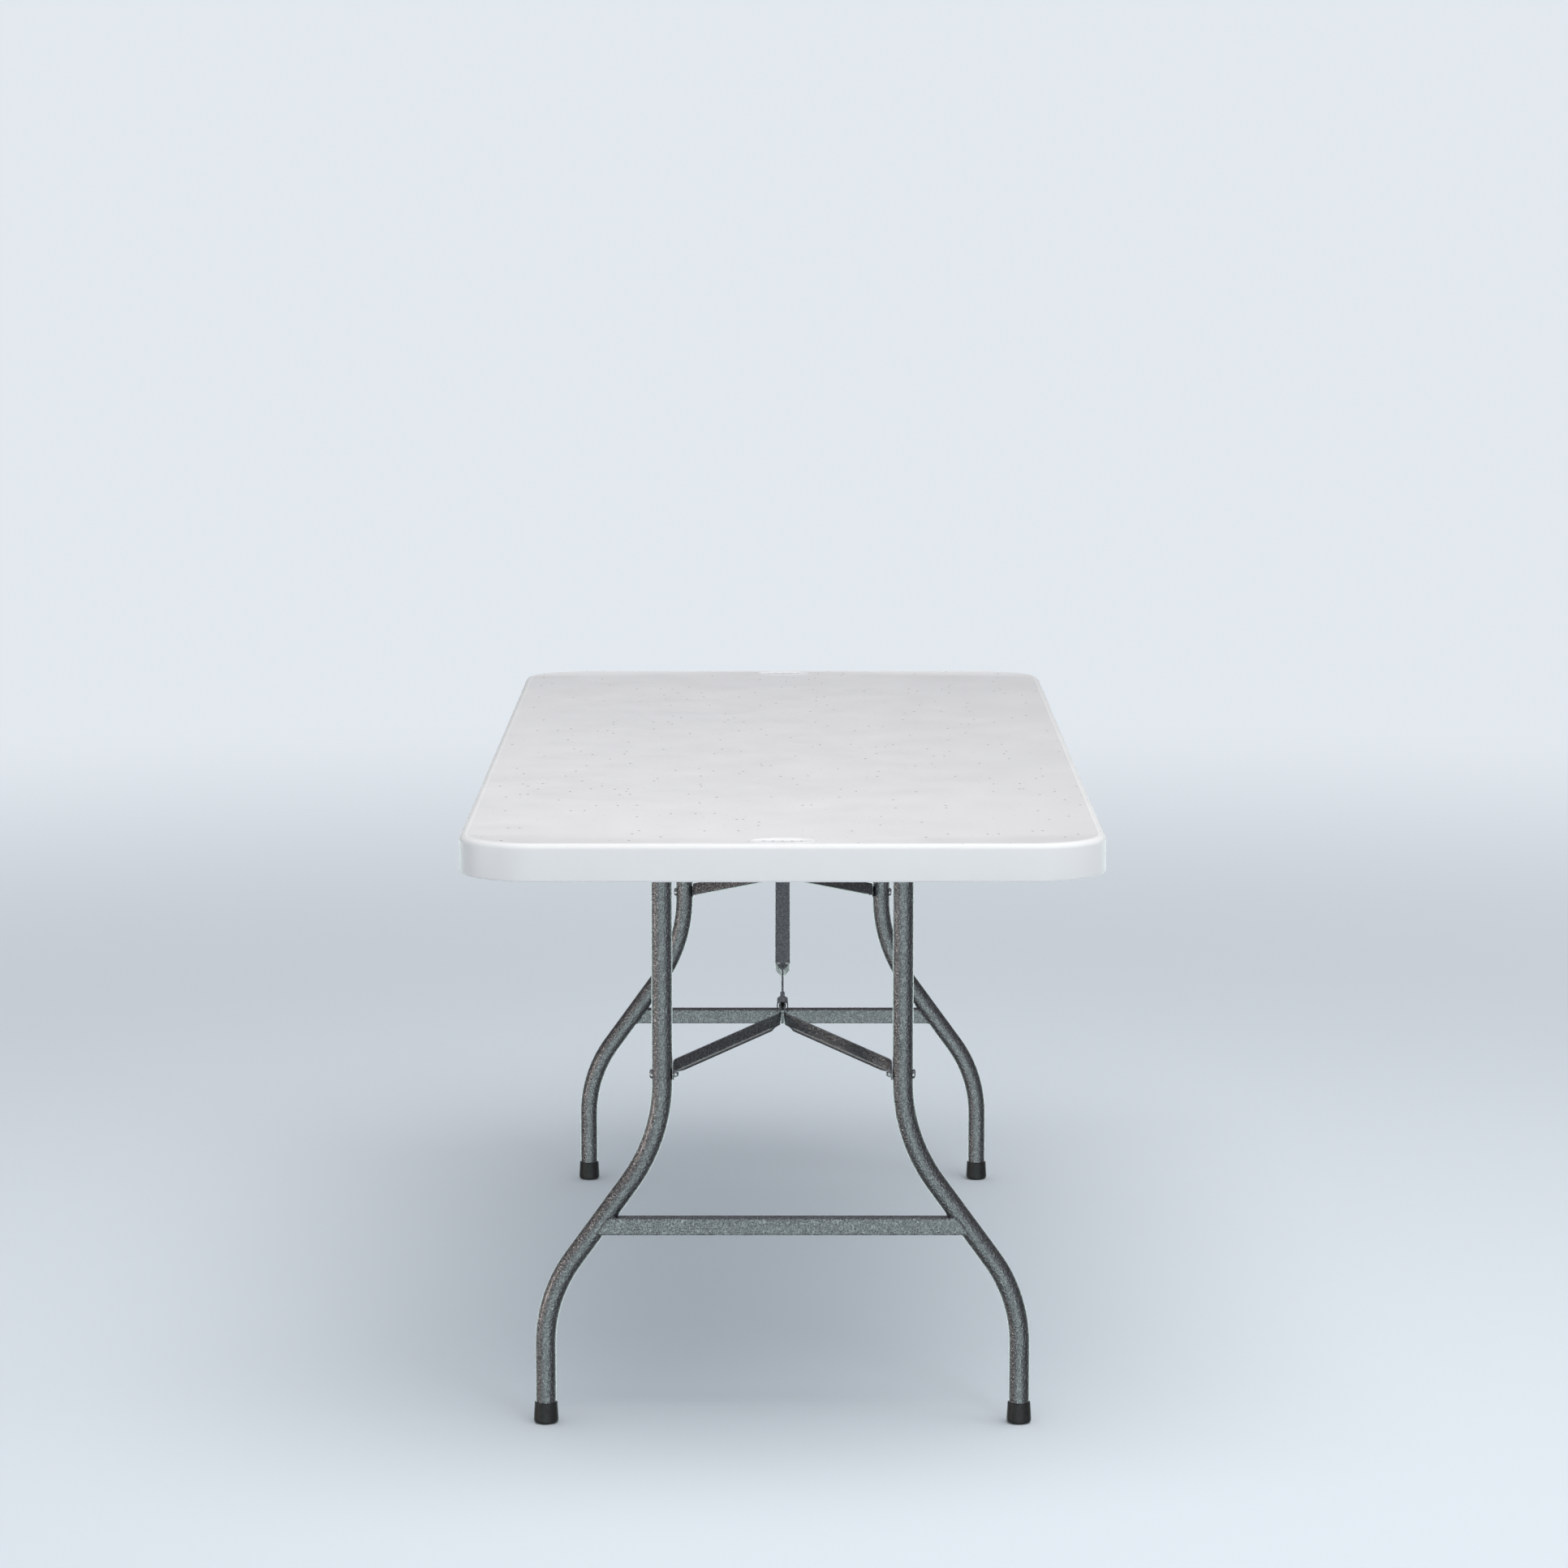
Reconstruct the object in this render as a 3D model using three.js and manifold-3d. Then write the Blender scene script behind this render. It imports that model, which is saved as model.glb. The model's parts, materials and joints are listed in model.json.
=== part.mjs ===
// Folding table: a blow-moulded top on two folding steel legs, with a centre link and a V brace for each leg.
// Millimetres, +Z up.  X runs across the table, Y along it.  The origin is on the floor under the middle.
// The front leg assembly is modelled at -Y; the rear one is the same assembly turned half round Z.

import * as THREE from 'three';
import { mergeVertices } from 'three/addons/utils/BufferGeometryUtils.js';
import Module from 'manifold-3d';

const wasm = await Module();
wasm.setup();

// ---------------------------------------------------------------- driving dimensions

// Table top
const TABLE_HEIGHT = 737;
const TOP_LENGTH = 1829;
const TOP_WIDTH = 762;
const TOP_CORNER_RADIUS = 90;
const RIM_HEIGHT = 45;
const RIM_THICKNESS = 17;
const EDGE_ROLL = 9;
const RIM_FOOT_ROLL = 3;
const PANEL_THICKNESS = 20;
const SKIN = 3;

// Oval pads let into the ends of the top
const PAD_LENGTH = 78;
const PAD_WIDTH = 45;
const PAD_THICKNESS = 1.2;
const PAD_FROM_END = 32;

// Fits
const GAP = 0.3;
const RUNNING_GAP = 0.5;

// Side rails and centre crossbar
const RAIL_LENGTH = 1540;
const RAIL_WIDTH = 25;
const RAIL_HEIGHT = 44.7;
const RAIL_WALL = 1.2;
const RAIL_FROM_SIDE = 44;
const CROSSBAR_DEPTH = 30;
const CROSSBAR_HEIGHT = 25;
const SCREW_RADIUS = 2.5;
const SCREW_HEAD_RADIUS = 5;
const SCREW_HEAD_HEIGHT = 3;
const SCREW_HEAD_FACE = 3.5;
const SCREW_BITE = 8;
const SCREW_PLACES = [200, 600];

// Legs
const TUBE_RADIUS = 12.5;
const TUBE_WALL = 1.5;
const PIVOT_FROM_END = 191.5;
const PIVOT_BELOW_TOP = 47;
const LEG_HALF_SPREAD_TOP = 145;
const LEG_HALF_SPREAD_FOOT = 287;
const LEG_BEND_ANGLE = THREE.MathUtils.degToRad(36);
const UPPER_BEND_RADIUS = 212;
const LOWER_BEND_RADIUS = 176;
const LOWER_BEND_START = 99;
const PIVOT_TUBE_IN_RAIL = 18;
const BUSHING_WALL = 1.4;
const BUSHING_FLANGE = 3;
const BUSHING_FLANGE_THICKNESS = 2;
const BUSHING_PAST_WALL = 2;

// Foot caps
const FOOT_HEIGHT = 26;
const FOOT_SOLE = 4;
const FOOT_WALL = 0.9;
const FOOT_FLARE = 1.3;
const FOOT_LIP = 1;
const FOOT_LIP_CHAMFER = 0.4;
// [set in from the radius at the base, height] of the rounded edge round the sole.
const FOOT_EDGE = [[3.5, 0], [1.2, 1], [0.2, 3], [0, 5]];

// Cross rail between the two tubes of a leg
const CROSS_RAIL_BOTTOM = 234;
const CROSS_RAIL_HEIGHT = 21.5;
const CROSS_RAIL_BEHIND_TUBE_FRONT = 0.5;
const CROSS_RAIL_DEPTH = 17;
const CROSS_RAIL_WALL = 1.5;

// Brace linkage
const BRACE_BELOW_PIVOT = 260;
const LINK_PIVOT_FROM_CENTRE = 40;
const LINK_PIVOT_ABOVE_LEG_PIVOT = 13;
const LINK_WIDTH = 18.5;
const LINK_HEIGHT = 12;
const LINK_WALL = 1.5;
const LINK_END = 6;
const NECK_THICKNESS = 2.8;
const NECK_START = 75.5;
const SHOULDER_LENGTH = 20;
const LINK_PIN_RADIUS = 3;
const LINK_PIN_HEAD_RADIUS = 5;
const LINK_PIN_HEAD_HEIGHT = 2;
const LINK_PIN_HEAD_CHAMFER = 1;
const BRACKET_CHEEK = 2;
const BRACKET_HALF_WIDTH = 14;
const BRACKET_HALF_HEIGHT = 10;
const BRACKET_CLEAR_OF_LINK = 2;

// V arms
const ARM_TAB_RADIUS = 7.5;
const ARM_HEIGHT = 17;
const ARM_WALL = 1.5;
const ARM_FLANGE = 5;
const ARM_FLANGE_FROM_BEND = 8;
const ARM_LEG_TAB = 18;
const ARM_LINK_TAB = 30.5;
const RIVET_RADIUS = 2.5;
const RIVET_HEAD_RADIUS = 3.6;
const RIVET_HEAD_HEIGHT = 1.2;
const RIVET_CROWN_RADIUS = 2.7;
const BOLT_RADIUS = 3;
const BOLT_HEAD_RADIUS = 5.7;
const BOLT_HEAD_HEIGHT = 3.1;
// [share of the radius, share of the height] of points up the domed head.
const BOLT_DOME = [[0.9, 0.45], [0.55, 0.85]];
const NUT_RADIUS = 5;
const NUT_THICKNESS = 3.5;
const BOLT_END_PAST_NUT = 2;

// Lock saddle that slides along the neck of the link
const LOCK_HALF_WIDTH = 7;
const LOCK_WALL = 1.5;
const LOCK_TOP = 10;
const LOCK_SKIRT = 4.7;
const LOCK_BEFORE_JOINT = 7.4;
const LOCK_WIDE_END = 3;
const LOCK_TAPER = 9;
const LOCK_COLLAR_LENGTH = 7;
const LOCK_COLLAR_WALL = 1.3;
const LOCK_PRONG = 5;
const LOCK_RIM = 2.5;

// How far a cutting solid runs past the face it cuts, and a small overlap
const OVERCUT = 1;
const SLIVER = 0.01;

// Facets
const TUBE_FACETS = 16;
const SMALL_FACETS = 12;
const BEND_STEPS = 6;
const CORNER_STEPS = 8;
const ROLL_STEPS = 3;
const SIDE_STEPS = 8;

// ---------------------------------------------------------------- places worked out from them

const panelUnderside = TABLE_HEIGHT - PANEL_THICKNESS;
const rimBottom = TABLE_HEIGHT - RIM_HEIGHT;
const pivotY = -(TOP_LENGTH / 2 - PIVOT_FROM_END);
const pivotZ = TABLE_HEIGHT - PIVOT_BELOW_TOP;
const railTop = panelUnderside - GAP;
const railBottom = railTop - RAIL_HEIGHT;
const railOuter = TOP_WIDTH / 2 - RAIL_FROM_SIDE;
const railInner = railOuter - RAIL_WIDTH;
const railMiddle = (railOuter + railInner) / 2;
const linkPivotZ = pivotZ + LINK_PIVOT_ABOVE_LEG_PIVOT;
const bracePivotZ = pivotZ - BRACE_BELOW_PIVOT;

// The straight brace runs from the brace pivot on the leg to the link pivot under the top.
const braceRun = -LINK_PIVOT_FROM_CENTRE - pivotY;
const braceRise = linkPivotZ - bracePivotZ;
const braceLength = Math.hypot(braceRun, braceRise);
const braceSlope = Math.atan2(braceRise, braceRun);

// The arms are as long as lets the brace lie flat under the top when the leg is folded.
const foldedReach = braceRun - BRACE_BELOW_PIVOT;
const linkLength = (braceLength ** 2 - foldedReach ** 2 - LINK_PIVOT_ABOVE_LEG_PIVOT ** 2)
  / (2 * (braceLength - foldedReach));
const armLength = braceLength - linkLength;

// The S of a leg tube: straight, upper bend, slant, lower bend, straight.
const bendOffset = (UPPER_BEND_RADIUS + LOWER_BEND_RADIUS) * (1 - Math.cos(LEG_BEND_ANGLE));
const slantOffset = LEG_HALF_SPREAD_FOOT - LEG_HALF_SPREAD_TOP - bendOffset;
const slantBottom = LOWER_BEND_START + LOWER_BEND_RADIUS * Math.sin(LEG_BEND_ANGLE);
const slantTop = slantBottom + slantOffset / Math.tan(LEG_BEND_ANGLE);
const bendTop = slantTop + UPPER_BEND_RADIUS * Math.sin(LEG_BEND_ANGLE);

// Where the centre line of a leg tube runs at a height, and how far it leans there.
function legAt(z) {
  const upper = (lean) => ({ x: LEG_HALF_SPREAD_TOP + UPPER_BEND_RADIUS * (1 - Math.cos(lean)), lean });
  const lower = (lean) => ({ x: LEG_HALF_SPREAD_FOOT - LOWER_BEND_RADIUS * (1 - Math.cos(lean)), lean });
  if (z >= bendTop) {
    return upper(0);
  }
  if (z >= slantTop) {
    return upper(Math.asin((bendTop - z) / UPPER_BEND_RADIUS));
  }
  if (z >= slantBottom) {
    const { x, lean } = lower(LEG_BEND_ANGLE);
    return { x: x - (z - slantBottom) * Math.tan(LEG_BEND_ANGLE), lean };
  }
  if (z >= LOWER_BEND_START) {
    return lower(Math.asin((z - LOWER_BEND_START) / LOWER_BEND_RADIUS));
  }
  return lower(0);
}

// The sides of a leg tube that face the middle and the outside, over a span of heights.
function legSides(z0, z1) {
  let inner = Infinity;
  let outer = 0;
  for (let step = 0; step <= SIDE_STEPS; step += 1) {
    const { x, lean } = legAt(z0 + ((z1 - z0) * step) / SIDE_STEPS);
    inner = Math.min(inner, x - TUBE_RADIUS / Math.cos(lean));
    outer = Math.max(outer, x + TUBE_RADIUS / Math.cos(lean));
  }
  return { inner, outer };
}

const tabInner = NECK_THICKNESS / 2 + GAP;
const tabTop = bracePivotZ + ARM_LEG_TAB * Math.sin(braceSlope) + ARM_HEIGHT / 2;
const armAtLeg = legSides(bracePivotZ - ARM_TAB_RADIUS, tabTop).inner - GAP;
const boltSeat = legSides(bracePivotZ - BOLT_HEAD_RADIUS, bracePivotZ + BOLT_HEAD_RADIUS).outer + GAP;

// ---------------------------------------------------------------- materials

const whitePlastic = () => new THREE.MeshStandardMaterial({ color: 0xe4e4e6, roughness: 0.5, metalness: 0 });
const hammeredPaint = () => (
  new THREE.MeshStandardMaterial({ color: 0x4b4b50, roughness: 0.4, metalness: 0.4 })
);
const blackRubber = () => new THREE.MeshStandardMaterial({ color: 0x16161a, roughness: 0.6, metalness: 0 });
const blackPlastic = () => new THREE.MeshStandardMaterial({ color: 0x222226, roughness: 0.5, metalness: 0 });
const zinc = () => new THREE.MeshStandardMaterial({ color: 0xb4b4b8, roughness: 0.35, metalness: 0.9 });

// ---------------------------------------------------------------- solids and meshes

function solidOf(geometry) {
  const bare = geometry.clone();
  bare.deleteAttribute('normal');
  bare.deleteAttribute('uv');
  const merged = mergeVertices(bare, 1e-4);
  return new wasm.Manifold(new wasm.Mesh({
    numProp: 3,
    vertProperties: new Float32Array(merged.attributes.position.array),
    triVerts: new Uint32Array(merged.index.array),
  }));
}

function geometryOf(solid) {
  const mesh = solid.getMesh();
  const geometry = new THREE.BufferGeometry();
  geometry.setAttribute('position', new THREE.BufferAttribute(mesh.vertProperties, 3));
  geometry.setIndex(new THREE.BufferAttribute(mesh.triVerts, 1));
  geometry.computeVertexNormals();
  return geometry;
}

function piece(name, solid, material) {
  const mesh = new THREE.Mesh(geometryOf(solid), material);
  mesh.name = name;
  return mesh;
}

function box([x0, x1], [y0, y1], [z0, z1]) {
  const geometry = new THREE.BoxGeometry(x1 - x0, y1 - y0, z1 - z0);
  geometry.translate((x0 + x1) / 2, (y0 + y1) / 2, (z0 + z1) / 2);
  return solidOf(geometry);
}

// A bar along X with its axis through (y, z).
function barX(radius, x0, x1, y, z, facets = SMALL_FACETS) {
  const geometry = new THREE.CylinderGeometry(radius, radius, x1 - x0, facets);
  geometry.rotateZ(Math.PI / 2);
  geometry.translate((x0 + x1) / 2, y, z);
  return solidOf(geometry);
}

// A bar along Z with its axis through (x, y).
function barZ(radius, x, y, z0, z1) {
  const geometry = new THREE.CylinderGeometry(radius, radius, z1 - z0, SMALL_FACETS);
  geometry.rotateX(Math.PI / 2);
  geometry.translate(x, y, (z0 + z1) / 2);
  return solidOf(geometry);
}

// A turned body about Z from [radius, height] points that rise along the outside.
function turned(profile, facets) {
  const points = profile.map(([radius, height]) => new THREE.Vector2(radius, height));
  const geometry = new THREE.LatheGeometry(points, facets);
  geometry.rotateX(Math.PI / 2);
  return geometry;
}

function shapeOf(points) {
  return new THREE.Shape(points.map(([u, v]) => new THREE.Vector2(u, v)));
}

// An outline in the XY plane, from z0 to z1.
function plate(shape, z0, z1) {
  const options = { depth: z1 - z0, bevelEnabled: false, curveSegments: CORNER_STEPS };
  const geometry = new THREE.ExtrudeGeometry(shape, options);
  geometry.translate(0, 0, z0);
  return solidOf(geometry);
}

// An outline in the YZ plane, from x0 to x1.
function sidePlate(shape, x0, x1) {
  const options = { depth: x1 - x0, bevelEnabled: false, curveSegments: CORNER_STEPS };
  const geometry = new THREE.ExtrudeGeometry(shape, options);
  geometry.rotateY(Math.PI / 2);
  geometry.rotateX(Math.PI / 2);
  geometry.translate(x0, 0, 0);
  return solidOf(geometry);
}

// An outline in the XZ plane, from y0 to y1.
function crossPlate(shape, y0, y1) {
  const options = { depth: y1 - y0, bevelEnabled: false, curveSegments: CORNER_STEPS };
  const geometry = new THREE.ExtrudeGeometry(shape, options);
  geometry.rotateX(Math.PI / 2);
  geometry.translate(0, y1, 0);
  return solidOf(geometry);
}

// ---------------------------------------------------------------- table top

function topOutline(inset) {
  const halfX = TOP_WIDTH / 2 - inset;
  const halfY = TOP_LENGTH / 2 - inset;
  const radius = TOP_CORNER_RADIUS - inset;
  const shape = new THREE.Shape();
  shape.absarc(halfX - radius, halfY - radius, radius, 0, Math.PI / 2);
  shape.absarc(radius - halfX, halfY - radius, radius, Math.PI / 2, Math.PI);
  shape.absarc(radius - halfX, radius - halfY, radius, Math.PI, Math.PI * 1.5);
  shape.absarc(halfX - radius, radius - halfY, radius, Math.PI * 1.5, Math.PI * 2);
  shape.closePath();
  return shape;
}

// A slab with the outline of the top, its upper and lower edges rolled over.
function rolledSlab(inset, z0, z1, roll) {
  const geometry = new THREE.ExtrudeGeometry(topOutline(inset), {
    depth: z1 - z0 - 2 * roll,
    bevelEnabled: true,
    bevelThickness: roll,
    bevelSize: roll,
    bevelOffset: -roll,
    bevelSegments: ROLL_STEPS,
    curveSegments: CORNER_STEPS,
  });
  geometry.translate(0, 0, z0 + roll);
  return solidOf(geometry);
}

function padOutline(clearance) {
  const shape = new THREE.Shape();
  shape.absellipse(0, 0, PAD_LENGTH / 2 + clearance, PAD_WIDTH / 2 + clearance, 0, Math.PI * 2);
  return shape;
}

const padY = TOP_LENGTH / 2 - PAD_FROM_END;
const padBottom = TABLE_HEIGHT - PAD_THICKNESS;

function screwPlaces() {
  const places = [];
  for (const side of [-1, 1]) {
    for (const y of SCREW_PLACES) {
      places.push([side * railMiddle, -y], [side * railMiddle, y]);
    }
  }
  return places;
}

function tableTop() {
  const upperEdge = rolledSlab(0, rimBottom - 3 * EDGE_ROLL, TABLE_HEIGHT, EDGE_ROLL);
  const lowerEdge = rolledSlab(0, rimBottom, TABLE_HEIGHT + 3 * EDGE_ROLL, RIM_FOOT_ROLL);
  const recess = plate(topOutline(RIM_THICKNESS), rimBottom - OVERCUT, panelUnderside);
  const floorOfHollow = plate(topOutline(RIM_THICKNESS - SKIN), rimBottom - OVERCUT, panelUnderside + SKIN);
  const hollow = rolledSlab(SKIN, rimBottom + SKIN, TABLE_HEIGHT - SKIN, EDGE_ROLL - SKIN);
  let top = upperEdge.intersect(lowerEdge).subtract(recess).subtract(hollow.subtract(floorOfHollow));
  for (const y of [-padY, padY]) {
    const seat = plate(padOutline(GAP), padBottom - GAP, TABLE_HEIGHT + OVERCUT);
    top = top.subtract(seat.translate(0, y, 0));
  }
  for (const [x, y] of screwPlaces()) {
    top = top.subtract(
      barZ(SCREW_RADIUS + GAP, x, y, panelUnderside - OVERCUT, panelUnderside + SKIN + OVERCUT),
    );
  }
  return piece('tabletop', top, whitePlastic());
}

function endPad(end) {
  const pad = plate(padOutline(0), padBottom, TABLE_HEIGHT);
  const mesh = piece(`${end}_end_pad`, pad, whitePlastic());
  mesh.position.y = end === 'front' ? -padY : padY;
  return mesh;
}

// ---------------------------------------------------------------- frame under the top

// Outline of a channel that is open below, u across and v up.
function channelOutline(u0, u1, v0, v1, wall) {
  return shapeOf([
    [u0, v0], [u0 + wall, v0], [u0 + wall, v1 - wall], [u1 - wall, v1 - wall],
    [u1 - wall, v0], [u1, v0], [u1, v1], [u0, v1],
  ]);
}

function sideRail(sideName, side) {
  const outline = channelOutline(railInner, railOuter, railBottom, railTop, RAIL_WALL);
  let rail = crossPlate(outline, -RAIL_LENGTH / 2, RAIL_LENGTH / 2);
  const boreRadius = TUBE_RADIUS + BUSHING_WALL + 2 * GAP;
  for (const y of [-pivotY, pivotY]) {
    rail = rail.subtract(
      barX(boreRadius, railInner - OVERCUT, railMiddle, y, pivotZ, TUBE_FACETS),
    );
  }
  for (const y of SCREW_PLACES.flatMap((place) => [-place, place])) {
    rail = rail.subtract(
      barZ(SCREW_RADIUS + GAP, railMiddle, y, railTop - RAIL_WALL - OVERCUT, railTop + OVERCUT),
    );
  }
  return piece(`side_rail_${sideName}`, side < 0 ? rail.rotate([0, 0, 180]) : rail, hammeredPaint());
}

function railScrew(index, [x, y]) {
  const headTop = railTop - RAIL_WALL - GAP;
  const tip = panelUnderside + SCREW_BITE;
  const profile = [
    [0, headTop - SCREW_HEAD_HEIGHT], [SCREW_HEAD_FACE, headTop - SCREW_HEAD_HEIGHT],
    [SCREW_HEAD_RADIUS, headTop - SCREW_HEAD_HEIGHT / 2], [SCREW_HEAD_RADIUS, headTop],
    [SCREW_RADIUS, headTop], [SCREW_RADIUS, tip - SCREW_RADIUS], [0, tip],
  ];
  const mesh = piece(`rail_screw_${index + 1}`, solidOf(turned(profile, SMALL_FACETS)), zinc());
  mesh.position.set(x, y, 0);
  return mesh;
}

function crossbar() {
  const half = CROSSBAR_DEPTH / 2;
  const outline = channelOutline(-half, half, railTop - CROSSBAR_HEIGHT, railTop, RAIL_WALL);
  const end = railInner - GAP;
  return piece('centre_crossbar', sidePlate(outline, -end, end), hammeredPaint());
}

// ---------------------------------------------------------------- leg

// The centre line of a leg tube from its top to its foot, in the XZ plane.
class LegLine extends THREE.Curve {
  constructor(side, top, foot) {
    super();
    this.side = side;
    const heights = [top];
    for (let step = 0; step <= BEND_STEPS; step += 1) {
      const lean = (LEG_BEND_ANGLE * step) / BEND_STEPS;
      heights.push(bendTop - UPPER_BEND_RADIUS * Math.sin(lean));
    }
    for (let step = BEND_STEPS; step >= 0; step -= 1) {
      const lean = (LEG_BEND_ANGLE * step) / BEND_STEPS;
      heights.push(LOWER_BEND_START + LOWER_BEND_RADIUS * Math.sin(lean));
    }
    heights.push(foot);
    this.stations = heights.map((z) => ({ z, ...legAt(z) }));
  }

  get steps() {
    return this.stations.length - 1;
  }

  getUtoTmapping(u) {
    return u;
  }

  getPoint(t, target = new THREE.Vector3()) {
    const { x, z } = this.stations[Math.round(t * this.steps)];
    return target.set(this.side * x, 0, z);
  }

  getTangent(t, target = new THREE.Vector3()) {
    const { lean } = this.stations[Math.round(t * this.steps)];
    return target.set(this.side * Math.sin(lean), 0, -Math.cos(lean));
  }
}

function roundOutline(radius, innerRadius) {
  const shape = new THREE.Shape();
  shape.absarc(0, 0, radius, 0, Math.PI * 2);
  if (innerRadius > 0) {
    const hole = new THREE.Path();
    hole.absarc(0, 0, innerRadius, 0, Math.PI * 2, true);
    shape.holes.push(hole);
  }
  return shape;
}

function alongLeg(side, top, foot, radius, innerRadius) {
  const line = new LegLine(side, top, foot);
  return solidOf(new THREE.ExtrudeGeometry(roundOutline(radius, innerRadius), {
    steps: line.steps,
    curveSegments: TUBE_FACETS / 2,
    extrudePath: line,
  }));
}

function legTube(name, side) {
  let tube = alongLeg(side, pivotZ, FOOT_SOLE + GAP, TUBE_RADIUS, TUBE_RADIUS - TUBE_WALL);
  const reach = LEG_HALF_SPREAD_FOOT + 2 * TUBE_RADIUS;
  tube = tube.subtract(barX(TUBE_RADIUS + GAP, -reach, reach, 0, pivotZ, TUBE_FACETS));
  tube = tube.subtract(barX(BOLT_RADIUS + GAP, -reach, reach, 0, bracePivotZ));
  return piece(name, tube, hammeredPaint());
}

function footCap(name, side) {
  const bore = TUBE_RADIUS + GAP;
  const rim = bore + FOOT_WALL;
  const base = rim + FOOT_FLARE;
  const profile = [
    [0, 0], ...FOOT_EDGE.map(([inset, height]) => [base - inset, height]), [rim, FOOT_HEIGHT - FOOT_LIP],
    [rim - FOOT_LIP_CHAMFER, FOOT_HEIGHT], [bore, FOOT_HEIGHT], [bore, FOOT_SOLE], [0, FOOT_SOLE],
  ];
  const mesh = piece(name, solidOf(turned(profile, TUBE_FACETS)), blackRubber());
  mesh.position.x = side * LEG_HALF_SPREAD_FOOT;
  return mesh;
}

function crossRail(name) {
  const bottom = CROSS_RAIL_BOTTOM;
  const top = bottom + CROSS_RAIL_HEIGHT;
  const front = -TUBE_RADIUS + CROSS_RAIL_BEHIND_TUBE_FRONT;
  const back = front + CROSS_RAIL_DEPTH;
  const outline = shapeOf([
    [-legAt(bottom).x, bottom], [legAt(bottom).x, bottom], [legAt(top).x, top], [-legAt(top).x, top],
  ]);
  let rail = crossPlate(outline, front, back);
  rail = rail.subtract(box(
    [-LEG_HALF_SPREAD_FOOT, LEG_HALF_SPREAD_FOOT],
    [front + CROSS_RAIL_WALL, back - CROSS_RAIL_WALL],
    [bottom + CROSS_RAIL_WALL, top - CROSS_RAIL_WALL],
  ));
  for (const side of [-1, 1]) {
    rail = rail.subtract(alongLeg(side, pivotZ, 0, TUBE_RADIUS + GAP, 0));
  }
  return piece(name, rail, hammeredPaint());
}

function pivotTube(name) {
  const end = railInner + PIVOT_TUBE_IN_RAIL;
  const outer = barX(TUBE_RADIUS, -end, end, 0, pivotZ, TUBE_FACETS);
  const inner = barX(TUBE_RADIUS - TUBE_WALL, -end - OVERCUT, end + OVERCUT, 0, pivotZ, TUBE_FACETS);
  return piece(name, outer.subtract(inner), hammeredPaint());
}

function pivotBushing(name, side) {
  const flangeOuter = railInner - GAP;
  const flangeInner = flangeOuter - BUSHING_FLANGE_THICKNESS;
  const sleeveRadius = TUBE_RADIUS + GAP + BUSHING_WALL;
  const sleeveEnd = railInner + RAIL_WALL + BUSHING_PAST_WALL;
  const sleeve = barX(sleeveRadius, flangeInner, sleeveEnd, 0, pivotZ, TUBE_FACETS);
  const flange = barX(sleeveRadius + BUSHING_FLANGE, flangeInner, flangeOuter, 0, pivotZ, TUBE_FACETS);
  const bore = barX(TUBE_RADIUS + GAP, flangeInner - OVERCUT, railOuter, 0, pivotZ, TUBE_FACETS);
  const bushing = sleeve.add(flange).subtract(bore);
  return piece(name, side < 0 ? bushing.rotate([0, 0, 180]) : bushing, blackPlastic());
}

function braceBolt(name, side) {
  const end = armAtLeg + GAP;
  const profile = [
    [0, end], [BOLT_RADIUS, end], [BOLT_RADIUS, boltSeat], [BOLT_HEAD_RADIUS, boltSeat],
    ...BOLT_DOME.map(([out, up]) => [BOLT_HEAD_RADIUS * out, boltSeat + BOLT_HEAD_HEIGHT * up]),
    [0, boltSeat + BOLT_HEAD_HEIGHT],
  ];
  const geometry = turned(profile, SMALL_FACETS);
  geometry.rotateY((side * Math.PI) / 2);
  geometry.translate(0, 0, bracePivotZ);
  return piece(name, solidOf(geometry), zinc());
}

function legParts(end, sideOf) {
  const leg = new THREE.Group();
  leg.position.y = pivotY;
  leg.add(pivotTube(`${end}_pivot_tube`));
  leg.add(crossRail(`${end}_cross_rail`));
  for (const side of [-1, 1]) {
    leg.add(legTube(`${end}_leg_tube_${sideOf(side)}`, side));
    leg.add(footCap(`${end}_foot_cap_${sideOf(side)}`, side));
    leg.add(pivotBushing(`${end}_pivot_bushing_${sideOf(side)}`, side));
    leg.add(braceBolt(`${end}_brace_bolt_${sideOf(side)}`, side));
  }
  return leg;
}

// ---------------------------------------------------------------- brace
// The brace is drawn straight: Y runs from the brace pivot on the leg to the link pivot, Z is square to it.

function tabOutline(y0, y1, radius, halfHeight) {
  const shape = new THREE.Shape();
  const shoulder = halfHeight - radius;
  shape.absarc(y0, 0, radius, Math.PI / 2, Math.PI * 1.5);
  shape.lineTo(y0 + radius + shoulder, -halfHeight);
  shape.lineTo(y1 - radius - shoulder, -halfHeight);
  shape.absarc(y1, 0, radius, -Math.PI / 2, Math.PI / 2);
  shape.lineTo(y1 - radius - shoulder, halfHeight);
  shape.lineTo(y0 + radius + shoulder, halfHeight);
  shape.closePath();
  return shape;
}

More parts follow.
